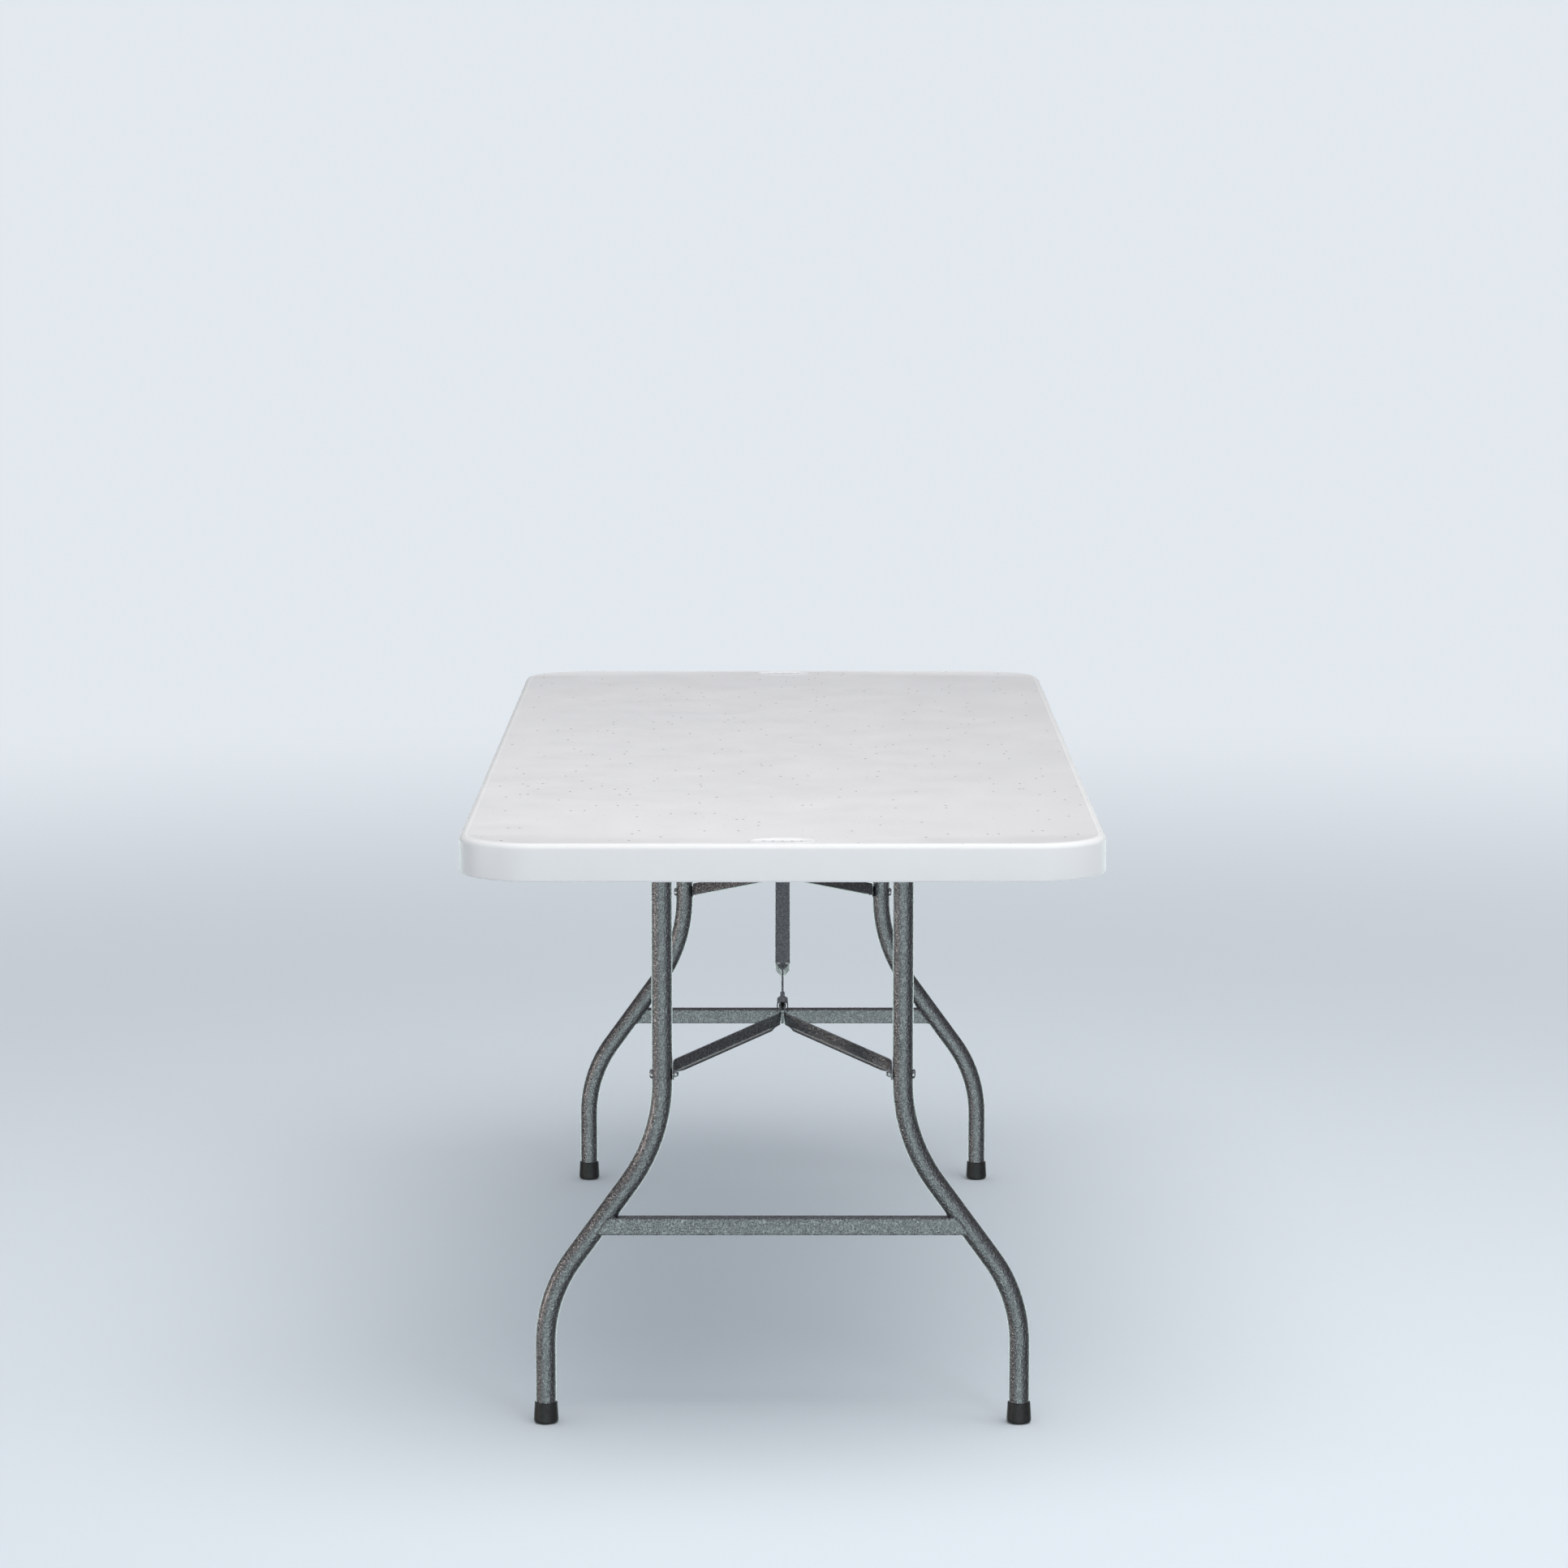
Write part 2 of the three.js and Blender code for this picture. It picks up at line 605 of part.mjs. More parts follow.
// An arm is an angle strip on edge: a tab at each end, a slanted web between them
// and a flange along its foot.
function vArm(name, side) {
  const linkFace = tabInner + ARM_WALL;
  const bendLink = armLength - ARM_LINK_TAB;
  const slant = Math.atan2(bendLink - ARM_LEG_TAB, armAtLeg - linkFace);
  const mitre = ARM_WALL * Math.tan((Math.PI / 2 - slant) / 2);
  const past = ARM_TAB_RADIUS + OVERCUT;
  const web = plate(shapeOf([
    [armAtLeg, -past], [armAtLeg, ARM_LEG_TAB + mitre], [linkFace, bendLink + mitre],
    [linkFace, armLength + past], [tabInner, armLength + past], [tabInner, bendLink],
    [armAtLeg - ARM_WALL, ARM_LEG_TAB], [armAtLeg - ARM_WALL, -past],
  ]), -ARM_HEIGHT / 2, ARM_HEIGHT / 2);
  const profile = sidePlate(
    tabOutline(0, armLength, ARM_TAB_RADIUS, ARM_HEIGHT / 2), 0, armAtLeg + OVERCUT,
  );

  // The flange, in steps along the web from the bend at the link and out from it.
  const at = (along, out) => [
    tabInner + along * Math.cos(slant) - out * Math.sin(slant),
    bendLink - along * Math.sin(slant) - out * Math.cos(slant),
  ];
  const webLength = Math.hypot(armAtLeg - linkFace, bendLink - ARM_LEG_TAB);
  const start = ARM_FLANGE_FROM_BEND;
  const finish = webLength - ARM_FLANGE_FROM_BEND / 2;
  const flange = plate(shapeOf([
    at(start, -ARM_WALL / 2), at(start + ARM_FLANGE, ARM_FLANGE),
    at(finish - ARM_FLANGE, ARM_FLANGE), at(finish, -ARM_WALL / 2),
  ]), -ARM_HEIGHT / 2, -ARM_HEIGHT / 2 + ARM_WALL);

  let arm = web.intersect(profile).add(flange);
  arm = arm.subtract(barX(RIVET_RADIUS + GAP, 0, linkFace + OVERCUT, armLength, 0));
  arm = arm.subtract(
    barX(BOLT_RADIUS + GAP, armAtLeg - ARM_WALL - OVERCUT, armAtLeg + OVERCUT, 0, 0),
  );
  return piece(name, side < 0 ? arm.mirror([1, 0, 0]) : arm, hammeredPaint());
}

function braceNut(name, side) {
  const face = armAtLeg - ARM_WALL - GAP;
  const nut = barX(NUT_RADIUS, face - NUT_THICKNESS, face, 0, 0, 6);
  const shank = barX(BOLT_RADIUS, face - NUT_THICKNESS - BOLT_END_PAST_NUT, armAtLeg, 0, 0);
  const solid = nut.add(shank);
  return piece(name, side < 0 ? solid.rotate([0, 0, 180]) : solid, zinc());
}

function vRivet(name) {
  const seat = tabInner + ARM_WALL + GAP;
  const end = seat + RIVET_HEAD_HEIGHT;
  const profile = [
    [0, -end], [RIVET_CROWN_RADIUS, -end], [RIVET_HEAD_RADIUS, -seat], [RIVET_RADIUS, -seat],
    [RIVET_RADIUS, seat], [RIVET_HEAD_RADIUS, seat], [RIVET_CROWN_RADIUS, end], [0, end],
  ];
  const geometry = turned(profile, SMALL_FACETS);
  geometry.rotateY(Math.PI / 2);
  geometry.translate(0, armLength, 0);
  return piece(name, solidOf(geometry), zinc());
}

function centreLink(name) {
  const half = LINK_WIDTH / 2;
  const neckHalf = NECK_THICKNESS / 2;
  const halfHeight = LINK_HEIGHT / 2;
  const shoulder = armLength + NECK_START;
  const bodyStart = shoulder + SHOULDER_LENGTH;
  const outline = channelOutline(-half, half, -halfHeight, halfHeight, LINK_WALL);
  const body = crossPlate(outline, bodyStart, braceLength + LINK_END);
  const neck = plate(shapeOf([
    [-neckHalf, armLength - ARM_TAB_RADIUS], [neckHalf, armLength - ARM_TAB_RADIUS], [neckHalf, shoulder],
    [half, bodyStart], [half, bodyStart + LINK_WALL], [-half, bodyStart + LINK_WALL], [-half, bodyStart],
    [-neckHalf, shoulder],
  ]), -halfHeight, halfHeight);
  let link = body.add(neck);
  link = link.subtract(barX(RIVET_RADIUS + GAP, -half, half, armLength, 0));
  link = link.subtract(barX(LINK_PIN_RADIUS + GAP, -half - OVERCUT, half + OVERCUT, braceLength, 0));
  return piece(name, link, hammeredPaint());
}

function lockSaddle(name) {
  const start = armLength - LOCK_BEFORE_JOINT;
  const wideEnd = armLength + LOCK_WIDE_END;
  const collar = wideEnd + LOCK_TAPER;
  const end = collar + LOCK_COLLAR_LENGTH;
  const slotHalf = NECK_THICKNESS / 2 + GAP;
  const slotHeight = LINK_HEIGHT / 2 + GAP;
  const outlineOf = (y0, wide, narrow, y1) => shapeOf([
    [-wide, y0], [wide, y0], [wide, wideEnd], [narrow, collar], [narrow, y1], [-narrow, y1],
    [-narrow, collar], [-wide, wideEnd],
  ]);
  const narrow = slotHalf + LOCK_COLLAR_WALL;
  const shell = plate(outlineOf(start, LOCK_HALF_WIDTH, narrow, end), -LOCK_SKIRT, LOCK_TOP);
  const sole = box([-narrow, narrow], [collar, end], [-slotHeight - LOCK_WALL, 0]);
  const roomTop = LOCK_TOP - LOCK_WALL;
  const innerOutline = outlineOf(
    start - OVERCUT, LOCK_HALF_WIDTH - LOCK_WALL, slotHalf, collar + SLIVER,
  );
  const room = plate(innerOutline, -LOCK_SKIRT - OVERCUT, roomTop);
  const windows = box(
    [-LOCK_HALF_WIDTH - OVERCUT, LOCK_HALF_WIDTH + OVERCUT], [start + LOCK_PRONG, collar],
    [-LOCK_SKIRT - OVERCUT, roomTop - LOCK_RIM],
  );
  const slot = box(
    [-slotHalf, slotHalf], [collar - OVERCUT, end + OVERCUT], [-slotHeight, slotHeight],
  );
  const saddle = shell.add(sole).subtract(room).subtract(windows).subtract(slot);
  return piece(name, saddle, hammeredPaint());
}

function braceParts(end, sideOf) {
  const brace = new THREE.Group();
  brace.position.set(0, pivotY, bracePivotZ);
  brace.rotation.x = braceSlope;
  brace.add(centreLink(`${end}_link`));
  brace.add(lockSaddle(`${end}_lock`));
  brace.add(vRivet(`${end}_v_rivet`));
  for (const side of [-1, 1]) {
    brace.add(vArm(`${end}_v_arm_${sideOf(side)}`, side));
    brace.add(braceNut(`${end}_brace_nut_${sideOf(side)}`, side));
  }
  return brace;
}

// ---------------------------------------------------------------- link bracket and its pin

function linkBracket(name) {
  const baseY = -CROSSBAR_DEPTH / 2 - GAP;
  const plateY = baseY - BRACKET_CHEEK;
  const nose = LINK_HEIGHT / 2 - LINK_WALL - RUNNING_GAP;
  const cheekOuter = LINK_WIDTH / 2 - LINK_WALL - RUNNING_GAP;
  const clearOfLink = LINK_END + BRACKET_CLEAR_OF_LINK;
  const halfBase = BRACKET_HALF_HEIGHT;
  const cheek = new THREE.Shape();
  cheek.absarc(-LINK_PIVOT_FROM_CENTRE, linkPivotZ, nose, Math.PI / 2, Math.PI * 1.5);
  cheek.lineTo(-LINK_PIVOT_FROM_CENTRE + clearOfLink, linkPivotZ - nose);
  cheek.lineTo(plateY, linkPivotZ - halfBase);
  cheek.lineTo(baseY, linkPivotZ - halfBase);
  cheek.lineTo(baseY, linkPivotZ + halfBase);
  cheek.lineTo(plateY, linkPivotZ + halfBase);
  cheek.lineTo(-LINK_PIVOT_FROM_CENTRE + clearOfLink, linkPivotZ + nose);
  cheek.closePath();
  const base = box(
    [-BRACKET_HALF_WIDTH, BRACKET_HALF_WIDTH], [plateY, baseY],
    [linkPivotZ - halfBase, linkPivotZ + halfBase],
  );
  let bracket = base.add(sidePlate(cheek, cheekOuter - BRACKET_CHEEK, cheekOuter));
  bracket = bracket.add(sidePlate(cheek, -cheekOuter, -cheekOuter + BRACKET_CHEEK));
  bracket = bracket.subtract(barX(
    LINK_PIN_RADIUS + GAP, -cheekOuter - OVERCUT, cheekOuter + OVERCUT,
    -LINK_PIVOT_FROM_CENTRE, linkPivotZ,
  ));
  return piece(name, bracket, hammeredPaint());
}

function linkPin(name) {
  const seat = LINK_WIDTH / 2 + GAP;
  const end = seat + LINK_PIN_HEAD_HEIGHT;
  const head = LINK_PIN_HEAD_RADIUS;
  const crown = head - LINK_PIN_HEAD_CHAMFER;
  const edge = end - LINK_PIN_HEAD_CHAMFER;
  const profile = [
    [0, -end], [crown, -end], [head, -edge], [head, -seat], [LINK_PIN_RADIUS, -seat],
    [LINK_PIN_RADIUS, seat], [head, seat], [head, edge], [crown, end], [0, end],
  ];
  const geometry = turned(profile, SMALL_FACETS);
  geometry.rotateY(Math.PI / 2);
  geometry.translate(0, -LINK_PIVOT_FROM_CENTRE, linkPivotZ);
  return piece(name, solidOf(geometry), zinc());
}

// ---------------------------------------------------------------- assembly

function endAssembly(end) {
  const turn = end === 'front' ? 1 : -1;
  const sideOf = (side) => (side * turn < 0 ? 'left' : 'right');
  const group = new THREE.Group();
  group.add(legParts(end, sideOf));
  group.add(braceParts(end, sideOf));
  group.add(linkBracket(`${end}_link_bracket`));
  group.add(linkPin(`${end}_link_pin`));
  group.rotation.z = end === 'front' ? 0 : Math.PI;
  return group;
}

const table = new THREE.Group();
table.add(tableTop());
table.add(sideRail('left', -1), sideRail('right', 1));
table.add(crossbar());
screwPlaces().forEach((place, index) => table.add(railScrew(index, place)));
for (const end of ['front', 'rear']) {
  table.add(endPad(end));
  table.add(endAssembly(end));
}

export default table;
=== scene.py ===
"""Looks of the folding table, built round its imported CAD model.

Metres, +Z up: X across the table, Y along it, the front leg at -Y.  Every piece of the front leg is drawn
at -Y, and the rear one is the same piece turned half round Z.
"""

import json
import math

import bpy
import bmesh
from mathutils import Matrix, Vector
from mathutils.geometry import delaunay_2d_cdt


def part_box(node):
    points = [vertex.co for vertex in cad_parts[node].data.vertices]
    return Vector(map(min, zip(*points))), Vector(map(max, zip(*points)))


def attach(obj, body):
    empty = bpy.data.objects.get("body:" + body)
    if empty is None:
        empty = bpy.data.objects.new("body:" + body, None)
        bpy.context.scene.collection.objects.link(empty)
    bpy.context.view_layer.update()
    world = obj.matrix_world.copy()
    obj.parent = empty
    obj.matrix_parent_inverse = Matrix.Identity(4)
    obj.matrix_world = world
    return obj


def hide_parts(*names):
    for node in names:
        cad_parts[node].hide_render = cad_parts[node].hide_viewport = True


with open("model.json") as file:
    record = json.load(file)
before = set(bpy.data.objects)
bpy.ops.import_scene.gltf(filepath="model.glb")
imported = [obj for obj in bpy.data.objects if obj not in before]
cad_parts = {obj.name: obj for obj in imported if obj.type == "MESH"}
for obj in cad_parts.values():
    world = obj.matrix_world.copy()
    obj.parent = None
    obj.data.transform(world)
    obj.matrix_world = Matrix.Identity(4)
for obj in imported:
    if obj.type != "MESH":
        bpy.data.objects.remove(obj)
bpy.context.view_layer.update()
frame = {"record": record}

MM = 0.001
AXIS_RADIUS = 1e-7
SAME_POINT = 1e-7
WELD_DISTANCE = 2e-6
JOINTS = {joint["name"]: joint for joint in frame["record"]["behaviour"]["joints"]}
ENDS = ("front", "rear")

# ---------------------------------------------------------------- sizes that the frame gives

top_low, top_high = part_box("tabletop")
TOP_Z = top_high.z
TOP_HALF_X = top_high.x
TOP_HALF_Y = top_high.y

_, pivot_y, pivot_z = JOINTS["front_leg_fold"]["pos_m"]
_, link_y, link_z = JOINTS["front_link_fold"]["pos_m"]
_, joint_y, joint_z = JOINTS["front_v_fold"]["pos_m"]

# ---------------------------------------------------------------- the CAD model's own sizes

CORNER_RADIUS = 90 * MM
RIM_THICKNESS = 17 * MM
PANEL_THICKNESS = 20 * MM
PAD_LENGTH = 78 * MM
PAD_WIDTH = 45 * MM
PAD_FROM_END = 32 * MM
RAIL_WALL = 1.2 * MM
RAIL_BEND = 3.2 * MM
TUBE_RADIUS = 12.5 * MM
TUBE_WALL = 1.5 * MM
SPREAD_TOP = 145 * MM
SPREAD_FOOT = 287 * MM
LEG_LEAN = math.radians(36)
UPPER_BEND = 212 * MM
LOWER_BEND = 176 * MM
LOWER_BEND_START = 99 * MM
BRACE_BELOW_PIVOT = 260 * MM
ARM_WALL = 1.5 * MM
ARM_HALF_HEIGHT = 8.5 * MM
ARM_TAB_RADIUS = 7.5 * MM
ARM_FLANGE = 5 * MM
ARM_LEG_TAB = 18 * MM
ARM_LINK_TAB = 30.5 * MM
GAP = 0.3 * MM

brace_z = pivot_z - BRACE_BELOW_PIVOT
brace_run = link_y - pivot_y
brace_rise = link_z - brace_z
brace_length = math.hypot(brace_run, brace_rise)
brace_slope = math.atan2(brace_rise, brace_run)
arm_length = math.hypot(joint_y - pivot_y, joint_z - brace_z)


# ---------------------------------------------------------------- the looks' own sizes

# The rolled edge of the top as (inset, drop) in mm, from the apron to the edge of the flat.
EDGE_ROLL = ((0, 7.0), (0.1, 6.0), (0.5, 4.9), (1.2, 3.7), (2.1, 2.6), (3.2, 1.6), (4.5, 0.8), (5.9, 0.25),
             (7.2, 0.03), (8.2, 0), (8.9, 0), (9.3, 0.25), (9.6, 0.42))
PAD_FACETS = 72

# Depths below the highest line of the top: the flat lies between two, and the pads go dark below the third.
FLAT_BAND_LOW = 0.6 * MM
FLAT_BAND_HIGH = 0.2 * MM
DARK_DIMPLE_DEPTH = 0.8 * MM

# Flecks in the white plastic: (cells per metre, radius in cells, share of cells left plain, grey).
FLECKS = ((40.0, 0.065, 0.76, 0.12), (75.0, 0.06, 0.84, 0.22))


# ---------------------------------------------------------------- outlines

def arc(centre, radius, start, end, steps):
    """Points of an arc in a plane, from the start angle to the end one."""
    points = []
    for step in range(steps + 1):
        angle = start + (end - start) * step / steps
        points.append((centre[0] + radius * math.cos(angle), centre[1] + radius * math.sin(angle)))
    return points


def fillet(corners, radii, steps=4):
    """A closed outline with each corner rounded; a radius of 0 leaves the corner sharp."""
    outline = []
    for index, corner in enumerate(corners):
        radius = radii[index] if isinstance(radii, (list, tuple)) else radii
        here = Vector(corner)
        back = Vector(corners[index - 1]) - here
        ahead = Vector(corners[(index + 1) % len(corners)]) - here
        if radius <= 0:
            outline.append(tuple(here))
            continue
        half = back.angle(ahead) / 2
        reach = min(radius / math.tan(half), 0.49 * back.length, 0.49 * ahead.length)
        first = here + back.normalized() * reach
        last = here + ahead.normalized() * reach
        for step in range(steps + 1):
            t = step / steps
            outline.append(tuple(first * (1 - t) ** 2 + here * 2 * t * (1 - t) + last * t ** 2))
    return outline


def oval(half_x, half_y, count):
    """An ellipse, counter-clockwise."""
    turn = 2 * math.pi / count
    return [(half_x * math.cos(turn * k), half_y * math.sin(turn * k)) for k in range(count)]


def circle(radius, count):
    """A round outline, counter-clockwise."""
    return oval(radius, radius, count)


def smooth(t):
    """An even S-curve from 0 to 1."""
    t = min(max(t, 0.0), 1.0)
    return t * t * (3 - 2 * t)


# ---------------------------------------------------------------- shells: (points, faces)

def loft(rings, loop=False, caps=True):
    """A skin over rings with the same number of points."""
    count = len(rings[0])
    points = [tuple(point) for ring in rings for point in ring]
    spans = len(rings) if loop else len(rings) - 1
    faces = []
    for index in range(spans):
        a = index * count
        b = ((index + 1) % len(rings)) * count
        for k in range(count):
            following = (k + 1) % count
            faces.append((a + k, a + following, b + following, b + k))
    if caps and not loop:
        faces.append(tuple(reversed(range(count))))
        faces.append(tuple(range(spans * count, (spans + 1) * count)))
    return points, faces


def turned(profile, origin, axis, count):
    """A turned shell from (radius, distance along the axis) points, closed on the axis at both ends."""
    axis = Vector(axis).normalized()
    side = axis.orthogonal().normalized()
    up = axis.cross(side)
    origin = Vector(origin)
    rings = []
    for radius, along in profile:
        centre = origin + axis * along
        ring = []
        for c, s in circle(max(radius, AXIS_RADIUS), count):
            ring.append(centre + side * c + up * s)
        rings.append(ring)
    return loft(rings)


def dome(radius, height, steps=6):
    """The profile of a low dome, from its foot to its crown."""
    return [(radius * math.cos(math.pi / 2 * k / steps), height * math.sin(math.pi / 2 * k / steps))
            for k in range(steps + 1)]


def bead(path, radius):
    """A weld bead round a closed path: a thin rope whose radius ripples."""
    facets = 8
    ripple = 0.18
    ripple_step = 2.1
    rings = []
    for index, point in enumerate(path):
        ahead = Vector(path[(index + 1) % len(path)])
        behind = Vector(path[index - 1])
        along = (ahead - behind).normalized()
        side = along.orthogonal().normalized()
        up = along.cross(side)
        here = radius * (1 + ripple * math.sin(index * ripple_step))
        rings.append([Vector(point) + side * c + up * s for c, s in circle(here, facets)])
    return loft(rings, loop=True)


def field(outer, holes, z):
    """A flat face at height z inside a ring of points and outside the holes."""
    points = []
    outlines = []
    for outline in [outer, *holes]:
        start = len(points)
        points += [Vector(point) for point in outline]
        outlines.append(list(range(start, len(points))))
    made, _, triangles, _, _, sources = delaunay_2d_cdt(points, [], outlines, 1, SAME_POINT, True)
    kept = [tuple(triangle) for triangle, source in zip(triangles, sources) if list(source) == [0]]
    return [(point.x, point.y, z) for point in made], kept


def raised(outline, z):
    """An outline in the XY plane lifted to a height."""
    return [(x, y, z) for x, y in outline]


def flat(ring):
    """The XY outline of a level ring."""
    return [(x, y) for x, y, _ in ring]


def pocket(x0, y0, z0, steps, count):
    """Shells of a round pocket from (radius, height) steps in mm, and the outline of its mouth."""
    rings = []
    for radius, height in steps:
        rings.append(raised([(x0 + x, y0 + y) for x, y in circle(radius * MM, count)], z0 + height * MM))
    return [loft(rings, caps=False), (rings[-1], [tuple(range(count))])], flat(rings[0])


# ---------------------------------------------------------------- pieces

def piece(name, shells, finish, body, node, end="front", sharp=35):
    """One object made of shells, in its finish, that rides a body and stands for a CAD node.

    The rear end's pieces are drawn at the front and turned half round Z.
    """
    mesh_builder = bmesh.new()
    sign = -1 if end == "rear" else 1
    # A shell may carry a third list: the painted highlight share of each point, kept as a point attribute.
    highlight_layer = mesh_builder.verts.layers.float.new("worn")
    for points, faces, *worn in shells:
        verts = [mesh_builder.verts.new((sign * p[0], sign * p[1], p[2])) for p in points]
        for vert, amount in zip(verts, worn[0] if worn else ()):
            vert[highlight_layer] = amount
        for face in faces:
            mesh_builder.faces.new([verts[k] for k in face])
    bmesh.ops.remove_doubles(mesh_builder, verts=mesh_builder.verts, dist=WELD_DISTANCE)
    bmesh.ops.recalc_face_normals(mesh_builder, faces=mesh_builder.faces)
    mesh = bpy.data.meshes.new(name)
    mesh_builder.to_mesh(mesh)
    mesh_builder.free()
    mesh.polygons.foreach_set("use_smooth", [True] * len(mesh.polygons))
    mesh.set_sharp_from_angle(angle=math.radians(sharp))
    mesh.materials.append(finish["material"])
    made = bpy.data.objects.new(name, mesh)
    bpy.context.collection.objects.link(made)
    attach(made, body)
    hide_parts(node)


# ---------------------------------------------------------------- materials

class Graph:
    """A node tree, and short ways to add to it."""

    def __init__(self, tree):
        self.tree = tree

    def add(self, kind, **values):
        """A node; each value is one of its properties, or else one of its inputs."""
        node = self.tree.nodes.new(kind)
        for key, value in values.items():
            if hasattr(node, key):
                setattr(node, key, value)
            else:
                node.inputs[key.replace("_", " ").title()].default_value = value
        return node

    def link(self, output, socket):
        self.tree.links.new(output, socket)

    def ramp(self, factor, stops):
        """A colour ramp over (position, colour or grey) stops."""
        node = self.add("ShaderNodeValToRGB")
        elements = node.color_ramp.elements
        while len(elements) < len(stops):
            elements.new(0.5)
        for element, (position, colour) in zip(elements, stops):
            element.position = position
            rgb = colour if isinstance(colour, tuple) else (colour, colour, colour)
            element.color = (*rgb, 1.0)
        self.link(factor, node.inputs["Fac"])
        return node.outputs["Color"]

    def math(self, operation, a, b):
        node = self.add("ShaderNodeMath", operation=operation)
        for socket, value in zip(node.inputs, (a, b)):
            if isinstance(value, (int, float)):
                socket.default_value = value
            else:
                self.link(value, socket)
        return node.outputs["Value"]

    def blend(self, factor, a, b):
        """One shader over another."""
        node = self.add("ShaderNodeMixShader")
        for socket, output in zip(node.inputs, (factor, a, b)):
            self.link(output, socket)
        return node.outputs["Shader"]


class Nodes(Graph):
    """A new material with a Principled shader and procedural textures in the object's own space."""

    def __init__(self, name):
        self.material = bpy.data.materials.new(name)
        self.material.use_nodes = True
        super().__init__(self.material.node_tree)
        self.shader = self.tree.nodes["Principled BSDF"]
        self.place = self.add("ShaderNodeTexCoord").outputs["Object"]

    def height(self):
        node = self.add("ShaderNodeSeparateXYZ")
        self.link(self.place, node.inputs[0])
        return node.outputs["Z"]

    def noise(self, scale, detail=2.0, roughness=0.5):
        node = self.add("ShaderNodeTexNoise", scale=scale, detail=detail, roughness=roughness)
        self.link(self.place, node.inputs["Vector"])
        return node.outputs["Fac"]

    def cells(self, scale):
        node = self.add("ShaderNodeTexVoronoi", feature="SMOOTH_F1", scale=scale)
        self.link(self.place, node.inputs["Vector"])
        return node.outputs["Distance"]

    def mix(self, factor, a, b):
        node = self.add("ShaderNodeMix", data_type="RGBA")
        self.link(factor, node.inputs["Factor"])
        for socket, value in ((node.inputs["A"], a), (node.inputs["B"], b)):
            if isinstance(value, tuple):
                socket.default_value = (*value, 1.0)
            else:
                self.link(value, socket)
        return node.outputs["Result"]

    def colour(self, output):
        self.link(output, self.shader.inputs["Base Color"])

    def roughness(self, output):
        self.link(output, self.shader.inputs["Roughness"])

    def bump(self, layers):
        """Bump from (height, distance in metres) layers, one on another."""
        normal = None
        for height, distance in layers:
            node = self.add("ShaderNodeBump")
            node.inputs["Distance"].default_value = distance
            self.link(height, node.inputs["Height"])
            if normal:
                self.link(normal, node.inputs["Normal"])
            normal = node.outputs["Normal"]
        self.link(normal, self.shader.inputs["Normal"])


def white_plastic(name, painted_light_off_flat, base, shade):
    """Blow-moulded polyethylene: a fine pebble grain and faint scuffs, and sparse flecks on the flat top."""
    nodes = Nodes(name)
    nodes.shader.inputs["Specular IOR Level"].default_value = 0.4
    broad = nodes.noise(3.0, 3.0)
    colour = nodes.mix(nodes.ramp(broad, [(0.3, 0.0), (0.7, 1.0)]), base, shade)
    height = nodes.height()
    on_flat = nodes.math("MULTIPLY", nodes.math("GREATER_THAN", height, TOP_Z - FLAT_BAND_LOW),
                         nodes.math("LESS_THAN", height, TOP_Z - FLAT_BAND_HIGH))
    # Painted light: off the flat top (rim, apron, roll-over and underside) the colour is the lighter one;
    # the flat keeps the random base-to-shade mottle.
    colour = nodes.mix(on_flat, painted_light_off_flat, colour)
    for scale, size, share, grey in FLECKS:
        spots = nodes.add("ShaderNodeTexVoronoi", voronoi_dimensions="2D", scale=scale)
        nodes.link(nodes.place, spots.inputs["Vector"])
        near = nodes.math("LESS_THAN", spots.outputs["Distance"], size)
        chosen = nodes.math("GREATER_THAN", spots.outputs["Color"], share)
        fleck = nodes.math("MULTIPLY", nodes.math("MULTIPLY", near, chosen), on_flat)
        colour = nodes.mix(fleck, colour, (grey, grey, grey * 1.05))
    nodes.colour(colour)
    scuffs = nodes.noise(14.0, 6.0, 0.65)
    nodes.roughness(nodes.ramp(scuffs, [(0.3, 0.40), (0.75, 0.55)]))
    nodes.bump([(nodes.noise(900.0, 2.0), 0.00010), (nodes.cells(1500.0), 0.00005)])
    return nodes.material


def pad_plastic(name):
    """Plain pale plastic with a fine grain, coloured dark deep in the dimples."""
    nodes = Nodes(name)
    # Dark below a set depth: the floors of the dimples.
    low = nodes.math("LESS_THAN", nodes.height(), TOP_Z - DARK_DIMPLE_DEPTH)
    grain = nodes.noise(300.0, 3.0)
    pale = nodes.ramp(grain, [(0.3, (0.84, 0.84, 0.85)), (0.7, (0.89, 0.89, 0.90))])
    nodes.colour(nodes.mix(low, pale, (0.18, 0.18, 0.20)))
    nodes.roughness(nodes.ramp(grain, [(0.3, 0.35), (0.7, 0.5)]))
    nodes.bump([(nodes.noise(1600.0, 2.0), 0.00005)])
    return nodes.material


